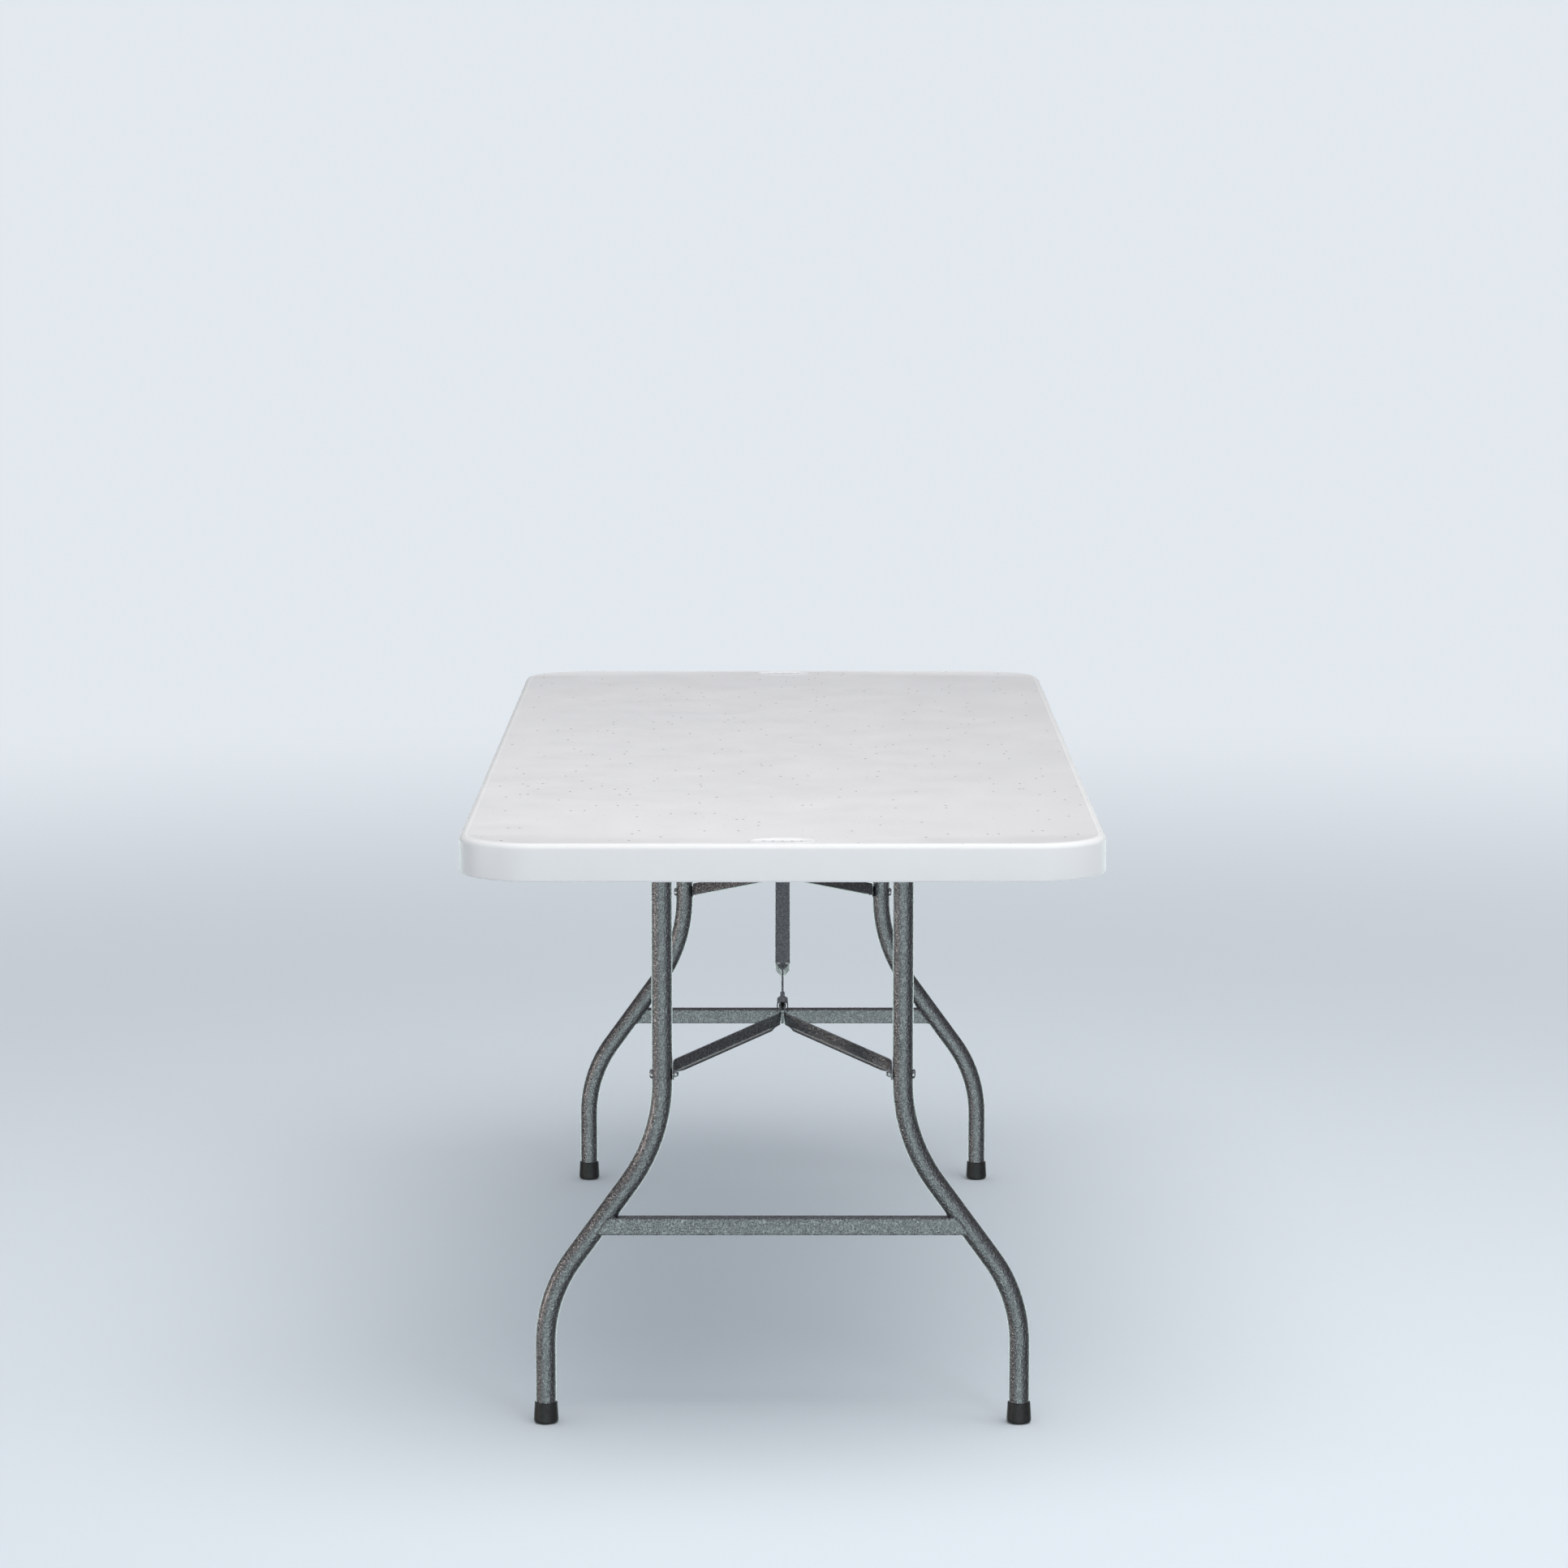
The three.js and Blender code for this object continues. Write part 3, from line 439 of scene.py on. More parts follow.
def hammered_paint(name):
    """Dark hammertone powder coat: fine dimples with metallic flake, and a pale matte painted highlight."""
    nodes = Nodes(name)
    nodes.shader.inputs["Coat Weight"].default_value = 0.3
    nodes.shader.inputs["Coat Roughness"].default_value = 0.22
    worn = nodes.add("ShaderNodeAttribute", attribute_name="worn").outputs["Fac"]
    dimples = nodes.cells(520.0)
    flakes = nodes.noise(900.0, 3.0, 0.6)
    tone = nodes.math("ADD", nodes.math("MULTIPLY", dimples, 0.35),
                      nodes.math("MULTIPLY", flakes, 0.65))
    paint = nodes.ramp(tone, [(0.36, (0.105, 0.106, 0.112)), (0.50, (0.170, 0.172, 0.182)),
                              (0.64, (0.290, 0.292, 0.305))])
    # Painted highlight: where the attribute is set, the paint is mixed to a pale matte colour with no metal.
    nodes.colour(nodes.mix(worn, paint, (0.90, 0.88, 0.84)))
    painted = nodes.math("SUBTRACT", 1.0, worn)
    nodes.link(nodes.math("MULTIPLY", painted, 0.9), nodes.shader.inputs["Metallic"])
    nodes.roughness(nodes.ramp(nodes.noise(240.0, 3.0), [(0.3, 0.24), (0.7, 0.33)]))
    nodes.bump([(flakes, 0.0004), (dimples, 0.0010)])
    return nodes.material


def black_rubber(name):
    """Moulded black rubber with dust in its grain and a scuffed sole."""
    nodes = Nodes(name)
    nodes.shader.inputs["Specular IOR Level"].default_value = 0.35
    dust = nodes.noise(220.0, 5.0, 0.65)
    nodes.colour(nodes.ramp(dust, [(0.35, (0.012, 0.012, 0.013)), (0.75, (0.034, 0.033, 0.032))]))
    nodes.roughness(nodes.ramp(dust, [(0.3, 0.45), (0.7, 0.62)]))
    nodes.bump([(nodes.noise(1400.0, 2.0), 0.0001)])
    return nodes.material


def black_plastic(name):
    """Moulded black bushing plastic, a little polished where it turns."""
    nodes = Nodes(name)
    grain = nodes.noise(500.0, 3.0)
    nodes.colour(nodes.ramp(grain, [(0.3, (0.014, 0.014, 0.015)), (0.7, (0.026, 0.026, 0.028))]))
    nodes.roughness(nodes.ramp(grain, [(0.3, 0.3), (0.7, 0.5)]))
    nodes.bump([(nodes.noise(1800.0, 2.0), 0.00006)])
    return nodes.material


def zinc_plate(name):
    """Bright zinc plate with faint cloudy stains."""
    nodes = Nodes(name)
    nodes.shader.inputs["Metallic"].default_value = 1.0
    clouds = nodes.noise(600.0, 4.0, 0.6)
    nodes.colour(nodes.ramp(clouds, [(0.3, (0.32, 0.32, 0.34)), (0.7, (0.46, 0.46, 0.48))]))
    nodes.roughness(nodes.ramp(clouds, [(0.3, 0.22), (0.7, 0.38)]))
    nodes.bump([(nodes.noise(2500.0, 2.0), 0.00004)])
    return nodes.material


FINISHES = {
    # Painted light: the top's rim, apron and underside are coloured lighter than its flat.
    "top": {"material": white_plastic("white_top", painted_light_off_flat=(0.83, 0.83, 0.83), base=(0.79, 0.785, 0.79),
                                      shade=(0.76, 0.76, 0.77)),
            "slot": "top_plastic"},
    "pad": {"material": pad_plastic("pale_pad"), "slot": "pad_plastic"},
    "steel": {"material": hammered_paint("hammertone"), "slot": "hammered_steel"},
    "rubber": {"material": black_rubber("foot_rubber"), "slot": "foot_rubber"},
    "bushing": {"material": black_plastic("bushing_plastic"), "slot": "bushing_plastic"},
    "zinc": {"material": zinc_plate("zinc_plate"), "slot": "zinc_hardware"},
}
FINISHES["rivet"] = {"material": FINISHES["steel"]["material"], "slot": "zinc_hardware"}


# ---------------------------------------------------------------- table top

def top_ring(inset, z):
    """The outline of the top, set in and lifted."""
    corner_steps = 20
    half_x = TOP_HALF_X - inset
    half_y = TOP_HALF_Y - inset
    radius = CORNER_RADIUS - inset
    ring = []
    for sign_x, sign_y, start in ((1, 1, 0), (-1, 1, 90), (-1, -1, 180), (1, -1, 270)):
        centre = (sign_x * (half_x - radius), sign_y * (half_y - radius))
        first = math.radians(start)
        ring += arc(centre, radius, first, first + math.pi / 2, corner_steps)
    return raised(ring, z)


def top_profile():
    """(inset, height) points from the panel underneath, round the rim, to the edge of the flat top."""
    rim_low = top_low.z
    panel = TOP_Z - PANEL_THICKNESS
    foot = 3 * MM
    inner_foot = 5 * MM
    root = 4 * MM
    coarse = [math.radians(angle) for angle in (30, 60, 90)]
    fine = [math.radians(angle) for angle in range(0, 91, 15)]
    profile = [(RIM_THICKNESS + root, panel)]
    for a in coarse:
        profile.append((RIM_THICKNESS + root * (1 - math.sin(a)), panel - root * (1 - math.cos(a))))
    for a in fine:
        inset = RIM_THICKNESS - inner_foot * (1 - math.cos(a))
        profile.append((inset, rim_low + inner_foot * (1 - math.sin(a))))
    for a in fine:
        profile.append((foot * (1 - math.sin(a)), rim_low + foot * (1 - math.cos(a))))
    profile += [(inset * MM, TOP_Z - drop * MM) for inset, drop in EDGE_ROLL]
    return profile


def pad_centre(end):
    """How far along the table a pad's middle lies."""
    return TOP_HALF_Y - PAD_FROM_END if end == "rear" else PAD_FROM_END - TOP_HALF_Y


def pad_outline(end, grow):
    """The pad's oval in its place, grown all round."""
    outline = oval(PAD_LENGTH / 2 + grow, PAD_WIDTH / 2 + grow, PAD_FACETS)
    return [(x, y + pad_centre(end)) for x, y in outline]


def tack_offs():
    """Centres of the round tack-offs underneath, where the two moulded skins meet."""
    pitch = 46 * MM
    row_share = math.sqrt(0.75)
    margin = 20 * MM
    corner_radius = 60 * MM
    half_x = TOP_HALF_X - RIM_THICKNESS - margin
    half_y = TOP_HALF_Y - RIM_THICKNESS - margin
    columns = int(half_x / pitch)
    rows = int(half_y / (pitch * row_share))
    centres = []
    for row in range(-rows, rows + 1):
        offset = pitch / 2 if row % 2 else 0.0
        for column in range(-columns, columns + 1):
            x = column * pitch + offset
            y = row * pitch * row_share
            past_x = max(abs(x) - half_x + corner_radius, 0)
            past_y = max(abs(y) - half_y + corner_radius, 0)
            if abs(x) < half_x and math.hypot(past_x, past_y) < corner_radius:
                centres.append((x, y))
    return centres


def tabletop():
    """The moulded top: its rim and underside, the flat top with a seat for each pad, and the tack-offs."""
    seat_gap = 0.6 * MM
    lip_gap = 0.2 * MM
    lip_drop = 0.5 * MM
    seat_depth = 1.6 * MM
    tack_off_steps = [(9.0, 0.0), (8.4, 0.6), (6.0, 8.0), (5.2, 8.6)]
    rings = [top_ring(inset, z) for inset, z in top_profile()]
    shells = [loft(rings, caps=False)]

    flat_z = rings[-1][0][2]
    seats = []
    for end in ENDS:
        seat = pad_outline(end, seat_gap)
        lip = pad_outline(end, lip_gap)
        seats.append(seat)
        walls = [raised(seat, flat_z), raised(lip, flat_z - lip_drop), raised(lip, flat_z - seat_depth)]
        shells.append(loft(walls, caps=False))
        shells.append(field(lip, [], flat_z - seat_depth))
    shells.append(field(flat(rings[-1]), seats, flat_z))

    under_z = rings[0][0][2]
    mouths = []
    for x0, y0 in tack_offs():
        walls, mouth = pocket(x0, y0, under_z, tack_off_steps, 14)
        shells += walls
        mouths.append(mouth)
    shells.append(field(flat(rings[0]), mouths, under_z))
    piece("tabletop_shell", shells, FINISHES["top"], "table", "tabletop", sharp=50)


def end_pad(end):
    """A plain oval pad with a raised border and a row of round dimples."""
    dimple_pitch = 11 * MM
    dimple_steps = [(3.2, 0.0), (2.9, -0.15), (2.0, -0.45), (0.8, -0.6)]
    low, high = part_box(f"{end}_end_pad")
    top = high.z - 0.05 * MM
    levels = [(0.3, low.z), (0.0, low.z + 0.3 * MM), (0.0, top - 0.5 * MM), (0.15, top - 0.15 * MM),
              (0.5, top), (3.0, top), (3.4, top - 0.1 * MM), (3.8, top - 0.4 * MM)]
    rings = [raised(pad_outline(end, -inset * MM), z) for inset, z in levels]
    shells = [loft(rings, caps=False), field(flat(rings[0]), [], low.z)]
    floor_z = rings[-1][0][2]
    mouths = []
    for place in range(-2, 3):
        walls, mouth = pocket(place * dimple_pitch, pad_centre(end), floor_z, dimple_steps, 20)
        shells += walls
        mouths.append(mouth)
    shells.append(field(flat(rings[-1]), mouths, floor_z))
    piece(f"{end}_oval_pad", shells, FINISHES["pad"], "table", f"{end}_end_pad", sharp=50)


# ---------------------------------------------------------------- frame under the top

def channel(u0, u1, v0, v1, wall, bend):
    """A rolled channel, open below: u across and v up, with bends of that outer radius."""
    corners = [(u0, v0), (u0 + wall, v0), (u0 + wall, v1 - wall), (u1 - wall, v1 - wall),
               (u1 - wall, v0), (u1, v0), (u1, v1), (u0, v1)]
    edge = wall * 0.3
    inner = max(bend - wall, 0.3 * MM)
    return fillet(corners, [edge, edge, inner, inner, edge, edge, bend, bend], 5)


def side_rail(side_name):
    low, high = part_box(f"side_rail_{side_name}")
    section = channel(low.x, high.x, low.z, high.z, RAIL_WALL, RAIL_BEND)
    rings = [[(x, y, z) for x, z in section] for y in (low.y, high.y)]
    name = f"side_rail_{side_name}"
    piece(f"rolled_rail_{side_name}", [loft(rings)], FINISHES["steel"], "table", name)


def crossbar():
    low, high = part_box("centre_crossbar")
    section = channel(low.y, high.y, low.z, high.z, RAIL_WALL, RAIL_BEND)
    rings = [[(x, y, z) for y, z in section] for x in (low.x, high.x)]
    piece("pressed_crossbar", [loft(rings)], FINISHES["steel"], "table", "centre_crossbar")


def hexagon(radius, height, origin, axis, chamfer=0.5 * MM):
    """A hexagonal head or nut with its corners chamfered at both faces."""
    face_share = 0.9
    corner = 0.12 * radius
    axis = Vector(axis).normalized()
    side = axis.orthogonal().normalized()
    up = axis.cross(side)
    levels = ((face_share, 0.0), (1.0, chamfer), (1.0, height - chamfer), (face_share, height))
    rings = []
    for scale, along in levels:
        ring = []
        for x, y in fillet(circle(radius * scale, 6), corner, 2):
            ring.append(Vector(origin) + axis * along + side * x + up * y)
        rings.append(ring)
    return loft(rings)


def rail_screw(number):
    """A washer-faced hexagon screw that holds a side rail to the moulded top."""
    name = f"rail_screw_{number}"
    head_height = 3 * MM
    pitch = 0.9
    low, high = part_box(name)
    x, y = (low.x + high.x) / 2, (low.y + high.y) / 2
    seat = low.z + head_height
    flange = [(0, -1.2), (4.6, -1.2), (5.0, -0.8), (5.0, -0.2), (4.8, 0.0), (2.5, 0.0)]
    thread = []
    for k in range(11):
        thread += [(2.1, k * pitch + 0.1), (2.5, k * pitch + 0.45)]
    profile = [(r * MM, h * MM) for r, h in flange + thread]
    profile.append((0.0, high.z - seat))
    shells = [turned(profile, (x, y, seat), (0, 0, 1), 28),
              hexagon(3.7 * MM, 2.0 * MM, (x, y, low.z), (0, 0, 1), 0.3 * MM)]
    piece(f"hex_{name}", shells, FINISHES["zinc"], "table", name)


def link_bracket(end):
    """A clevis for the link: two cheeks with round noses on a base plate."""
    thickness = 2 * MM
    cheek_places = (-7.25 * MM, 5.25 * MM)
    back = -15.3 * MM
    plate = back - thickness
    half_width = 14 * MM
    half_base = 10 * MM
    nose = 4 * MM
    straight = 8 * MM
    outline = arc((link_y, link_z), nose, math.pi / 2, 1.5 * math.pi, 12)
    outline += [(link_y + straight, link_z - nose), (plate, link_z - half_base), (back, link_z - half_base),
                (back, link_z + half_base), (plate, link_z + half_base), (link_y + straight, link_z + nose)]
    shells = []
    for x0 in cheek_places:
        shells.append(loft([[(x, y, z) for y, z in outline] for x in (x0, x0 + thickness)]))
    base = fillet([(-half_width, link_z - half_base), (half_width, link_z - half_base),
                   (half_width, link_z + half_base), (-half_width, link_z + half_base)], 3 * MM, 4)
    shells.append(loft([[(x, y, z) for x, z in base] for y in (plate, back)]))
    piece(f"{end}_clevis", shells, FINISHES["steel"], "table", f"{end}_link_bracket", end)


def link_pin(end):
    """A pin through clevis and link, with a domed head at each end."""
    half = 9.55 * MM
    shank = 3.0 * MM
    head_radius = 5.0 * MM
    rim = 0.6 * MM
    crown = [(r, half + rim + h) for r, h in dome(head_radius, 1.3 * MM)][1:]
    right = [(shank, half), (head_radius, half), (head_radius, half + rim)] + crown
    left = [(r, -along) for r, along in reversed(right)]
    shells = [turned(left + right, (0, link_y, link_z), (1, 0, 0), 28)]
    piece(f"{end}_clevis_pin", shells, FINISHES["zinc"], "table", f"{end}_link_pin", end)


# ---------------------------------------------------------------- legs

slant_bottom = LOWER_BEND_START + LOWER_BEND * math.sin(LEG_LEAN)
slant_offset = SPREAD_FOOT - SPREAD_TOP - (UPPER_BEND + LOWER_BEND) * (1 - math.cos(LEG_LEAN))
slant_top = slant_bottom + slant_offset / math.tan(LEG_LEAN)
bend_top = slant_top + UPPER_BEND * math.sin(LEG_LEAN)


def leg_at(z):
    """(distance from the middle, lean) of a leg tube's centre line at a height."""
    if z >= bend_top:
        return SPREAD_TOP, 0.0
    if z >= slant_top:
        lean = math.asin((bend_top - z) / UPPER_BEND)
        return SPREAD_TOP + UPPER_BEND * (1 - math.cos(lean)), lean
    lower = SPREAD_FOOT - LOWER_BEND * (1 - math.cos(LEG_LEAN))
    if z >= slant_bottom:
        return lower - (z - slant_bottom) * math.tan(LEG_LEAN), LEG_LEAN
    if z >= LOWER_BEND_START:
        lean = math.asin((z - LOWER_BEND_START) / LOWER_BEND)
        return SPREAD_FOOT - LOWER_BEND * (1 - math.cos(lean)), lean
    return SPREAD_FOOT, 0.0


def leg_heights(foot_z):
    """Heights of the stations along a leg tube, close together in its bends."""
    steps = 20
    heights = [pivot_z - 60 * MM, pivot_z - 150 * MM]
    for k in range(steps + 1):
        heights.append(bend_top - UPPER_BEND * math.sin(LEG_LEAN * k / steps))
    for k in range(steps, -1, -1):
        heights.append(LOWER_BEND_START + LOWER_BEND * math.sin(LEG_LEAN * k / steps))
    heights.append(foot_z)
    return heights


def tube_ring(side, z, radius, count):
    """A ring square to the leg tube's centre line at a height."""
    x, lean = leg_at(z)
    ring = []
    for c, s in circle(radius, count):
        ring.append((side * (x + c * math.cos(lean)), pivot_y + s, z + c * math.sin(lean)))
    return ring


def coped_ring(side, radius, count):
    """The top end of a leg tube, cut to sit round the pivot tube."""
    ring = []
    saddle = TUBE_RADIUS + GAP
    for c, s in circle(radius, count):
        drop = math.sqrt(max(saddle ** 2 - s ** 2, 0))
        ring.append((side * (SPREAD_TOP + c), pivot_y + s, pivot_z - drop))
    return ring


def leg_tube(end, side, side_name):
    """An S-bent tube, coped and welded to the pivot tube."""
    count = 48
    foot_z = 4.3 * MM
    weld_gap = 0.3 * MM
    weld_radius = 1.5 * MM
    inner = TUBE_RADIUS - TUBE_WALL
    outer_rings = [coped_ring(side, TUBE_RADIUS, count)]
    outer_rings += [tube_ring(side, z, TUBE_RADIUS, count) for z in leg_heights(foot_z)]
    inner_rings = [coped_ring(side, inner, count)]
    inner_rings += [tube_ring(side, z, inner, count) for z in leg_heights(foot_z)]
    weld = coped_ring(side, TUBE_RADIUS + weld_gap, 60)
    shells = [loft(outer_rings + inner_rings[::-1], loop=True), bead(weld, weld_radius)]
    name = f"{end}_leg_tube_{side_name}"
    piece(f"{end}_bent_tube_{side_name}", shells, FINISHES["steel"], f"{end}_leg", name, end)


def foot_cap(end, side, side_name):
    """A conical rubber cap with a rolled lip and a rounded sole."""
    profile = [(0, 0), (10.8, 0), (11.4, 0.2)]
    for angle in range(15, 91, 15):
        a = math.radians(angle)
        profile.append((11.4 + 3.5 * math.sin(a), 3.9 - 3.7 * math.cos(a)))
    profile += [(15.0, 5.0), (14.85, 8.0), (13.85, 24.4), (13.8, 25.2), (13.5, 25.8), (13.1, 26.0),
                (12.75, 25.7), (12.65, 25.0), (12.6, 12.0), (0, 12.0)]
    scaled = [(r * MM, h * MM) for r, h in profile]
    shells = [turned(scaled, (side * SPREAD_FOOT, pivot_y, 0), (0, 0, 1), 64)]
    name = f"{end}_foot_cap_{side_name}"
    piece(f"{end}_rubber_foot_{side_name}", shells, FINISHES["rubber"], f"{end}_leg", name, end)


def cross_rail(end):
    """A flat-faced tube whose ends are coped and welded to the leg tubes."""
    low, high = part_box("front_cross_rail")
    radius = 2.6 * MM
    section = fillet([(low.y, low.z), (high.y, low.z), (high.y, high.z), (low.y, high.z)], radius, 6)

    def end_ring(side, clear):
        reach = TUBE_RADIUS + clear
        ring = []
        for y, z in section:
            x, lean = leg_at(z)
            across = min(abs(y - pivot_y) / reach, 1.0)
            ring.append((side * (x - reach / math.cos(lean) * math.sqrt(1 - across ** 2)), y, z))
        return ring

    left, right = end_ring(-1, GAP), end_ring(1, GAP)
    shells = [loft([left, [(0, y, z) for y, z in section], right])]
    for side in (-1, 1):
        path = [(x - side * 0.4 * MM, y, z) for x, y, z in end_ring(side, 0)]
        shells.append(bead(path, 1.1 * MM))
    piece(f"{end}_welded_rail", shells, FINISHES["steel"], f"{end}_leg", f"{end}_cross_rail", end)


def pivot_tube(end):
    """A plain tube with eased ends."""
    low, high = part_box("front_pivot_tube")
    eased = TUBE_RADIUS - 0.3 * MM
    ease = 0.4 * MM
    bore = TUBE_RADIUS - TUBE_WALL
    rings = []
    for x, radius in ((low.x, eased), (low.x + ease, TUBE_RADIUS), (high.x - ease, TUBE_RADIUS),
                      (high.x, eased), (high.x, bore), (low.x, bore)):
        rings.append([(x, pivot_y + c, pivot_z + s) for c, s in circle(radius, 56)])
    shells = [loft(rings, loop=True)]
    piece(f"{end}_pivot_bar", shells, FINISHES["steel"], f"{end}_leg", f"{end}_pivot_tube", end)


def pivot_bushing(end, side, side_name):
    """A flanged bushing; its flange stays inside the reach of the rail's channel."""
    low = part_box("front_pivot_bushing_right")[0]
    reach = 17.19 * MM
    bore = TUBE_RADIUS + GAP
    profile = ((bore, 0.4), (bore + 0.4 * MM, 0.0), (17.0 * MM, 0.0), (17.6 * MM, 0.5), (17.6 * MM, 1.6),
               (17.2 * MM, 2.0), (14.2 * MM, 2.0), (14.2 * MM, 5.6), (13.9 * MM, 5.9), (bore, 5.9))
    rings = []
    for r, x in profile:
        share = min(1, reach / r)
        rings.append([(side * (low.x + x * MM), pivot_y + c * share, pivot_z + s * share)
                      for c, s in circle(r, 48)])
    name = f"{end}_pivot_bushing_{side_name}"
    piece(f"{end}_bushing_{side_name}", [loft(rings, loop=True)], FINISHES["bushing"], "table", name, end)


def brace_bolt(end, side, side_name):
    """A round-headed bolt through the leg tube."""
    low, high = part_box("front_brace_bolt_right")
    seat = SPREAD_TOP + TUBE_RADIUS + GAP
    head = high.x - seat
    shank = 3.0 * MM
    head_radius = 5.7 * MM
    rim = 0.5 * MM
    profile = [(0.0, low.x), (shank, low.x), (shank, seat - 2.0 * MM), (5.6 * MM, seat - 1.2 * MM),
               (head_radius, seat), (head_radius, seat + rim)]
    profile += [(r, seat + rim + h) for r, h in dome(head_radius, head - rim, 8)][1:]
    shells = [turned(profile, (0, pivot_y, brace_z), (side, 0, 0), 36)]
    name = f"{end}_brace_bolt_{side_name}"
    piece(f"{end}_dome_bolt_{side_name}", shells, FINISHES["zinc"], f"{end}_leg", name, end)


# ---------------------------------------------------------------- brace

def in_brace(points):
    """From the brace's own axes (x, along it from the leg, square to it) to the table's."""
    c, s = math.cos(brace_slope), math.sin(brace_slope)
    return [(x, pivot_y + along * c - out * s, brace_z + along * s + out * c) for x, along, out in points]


def brace_shell(shell, *worn):
    """A shell drawn in the brace's own axes, moved to the table's."""
    return (in_brace(shell[0]), shell[1], *worn)


def arm_path():
    """Stations (x, along) of an arm's inner face, close together at its ends and in its two bends."""
    face = SPREAD_TOP - TUBE_RADIUS - GAP - ARM_WALL
    inner = 1.7 * MM
    ease = 5 * MM
    end_steps = 8
    bend_steps = 8
    straight_steps = 24
    leg_end = Vector((face, -ARM_TAB_RADIUS))
    leg_bend = Vector((face, ARM_LEG_TAB))
    link_bend = Vector((inner, arm_length - ARM_LINK_TAB))
    link_end = Vector((inner, arm_length + ARM_TAB_RADIUS))
    toward = (link_bend - leg_bend).normalized()
    path = []

    def bend(a, corner, b):
        for k in range(1, bend_steps + 1):
            t = k / bend_steps
            path.append(a * (1 - t) ** 2 + corner * 2 * t * (1 - t) + b * t ** 2)

    for k in range(end_steps + 1):
        turn = math.pi / 2 * k / end_steps
        path.append(leg_end + Vector((0, ARM_TAB_RADIUS * (1 - math.cos(turn)))))
    first_in, first_out = leg_bend - Vector((0, ease)), leg_bend + toward * ease
    second_in, second_out = link_bend - toward * ease, link_bend + Vector((0, ease))
    path.append(first_in)
    bend(first_in, leg_bend, first_out)
    for k in range(1, straight_steps + 1):
        path.append(first_out.lerp(second_in, k / straight_steps))
    bend(second_in, link_bend, second_out)
    for k in range(end_steps + 1):
        turn = math.pi / 2 * k / end_steps
        path.append(link_end - Vector((0, ARM_TAB_RADIUS * (1 - math.sin(turn)))))
    return path


def arm_section(half, flange):
    """An angle section as (out, up) points: a web, and a flange along its foot."""
    w = ARM_WALL
    e = min(0.35 * MM, half * 0.3)
    corner = min(1.9 * MM, half * 0.6)
    root = min(0.8 * MM, half * 0.3)
    f = max(flange, 0.02 * MM)
    lip = min(0.4 * MM, f / 2)
    corners = [(-w, half), (0, half), (0, -half + w), (f, -half + w), (f, -half), (-w, -half)]
    return fillet(corners, [e, e, root, lip, lip, corner], 4)


def v_arm(end, side, side_name):
    """An angle-iron arm with flat round-ended tabs; the flange fades out before each tab."""
    grow_length = 6 * MM
    path = arm_path()
    lengths = [0.0]
    for a, b in zip(path, path[1:]):
        lengths.append(lengths[-1] + (b - a).length)
    total = lengths[-1]
    start = ARM_TAB_RADIUS + ARM_LEG_TAB + 1 * MM
    finish = total - ARM_TAB_RADIUS - ARM_LINK_TAB - 6.5 * MM
    rings = []
    worn = []
    for index, point in enumerate(path):
        ahead = path[min(index + 1, len(path) - 1)]
        behind = path[max(index - 1, 0)]
        along = (ahead - behind).normalized()
        out = Vector((-along.y, along.x))
        s = lengths[index]
        from_end = min(s, total - s)
        if from_end < ARM_TAB_RADIUS:
            half = math.sqrt(max(ARM_TAB_RADIUS ** 2 - (ARM_TAB_RADIUS - from_end) ** 2, 1e-9))
        else:
            grow = smooth((from_end - ARM_TAB_RADIUS) / grow_length)
            half = ARM_TAB_RADIUS + (ARM_HALF_HEIGHT - ARM_TAB_RADIUS) * grow
        flange = ARM_FLANGE * smooth((s - start) / (6 * MM)) * smooth((finish - s) / (12 * MM))
        ring = []
        for u, up in arm_section(half, flange):
            at = point + out * u
            ring.append((side * at.x, at.y, up))
            # Painted highlight: the flange's upper face is marked to take the pale highlight colour of the
            # paint.
            on_flange = abs(up + half - ARM_WALL) < 0.25 * MM and 0.5 * MM < u < flange - 1 * MM
            worn.append(1.0 if on_flange else 0.0)
        rings.append(ring)
    shells = [brace_shell(loft(rings), worn)]
    name = f"{end}_v_arm_{side_name}"
    piece(f"{end}_angle_arm_{side_name}", shells, FINISHES["steel"], f"{end}_v", name, end)


def brace_nut(end, side, side_name):
    """A hexagon nut on the threaded end of the brace bolt, with a washer under it."""
    face = SPREAD_TOP - TUBE_RADIUS - GAP - ARM_WALL - GAP
    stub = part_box("front_brace_nut_right")[1].x - face
    origin = in_brace([(side * face, 0, 0)])[0]
    inward = (-side, 0, 0)
    shank = 3.0 * MM
    tip = 5.5 * MM
    washer_thickness = 0.6 * MM
    thread = [(0.0, -stub), (shank, -stub), (shank, 3.5 * MM)]
    for k in range(3):
        thread += [(2.7 * MM, (3.7 + 0.6 * k) * MM), (shank, (4.0 + 0.6 * k) * MM)]
    thread += [(2.4 * MM, tip), (0.0, tip)]
    washer = [(0.0, 0.0), (4.9 * MM, 0.0), (5.0 * MM, 0.15 * MM), (4.9 * MM, washer_thickness),
              (0.0, washer_thickness)]
    shells = [turned(washer, origin, inward, 32),
              hexagon(4.9 * MM, 2.9 * MM, Vector(origin) + Vector(inward) * washer_thickness, inward),
              turned(thread, origin, inward, 24)]
    name = f"{end}_brace_nut_{side_name}"
    piece(f"{end}_hex_nut_{side_name}", shells, FINISHES["zinc"], f"{end}_v", name, end)


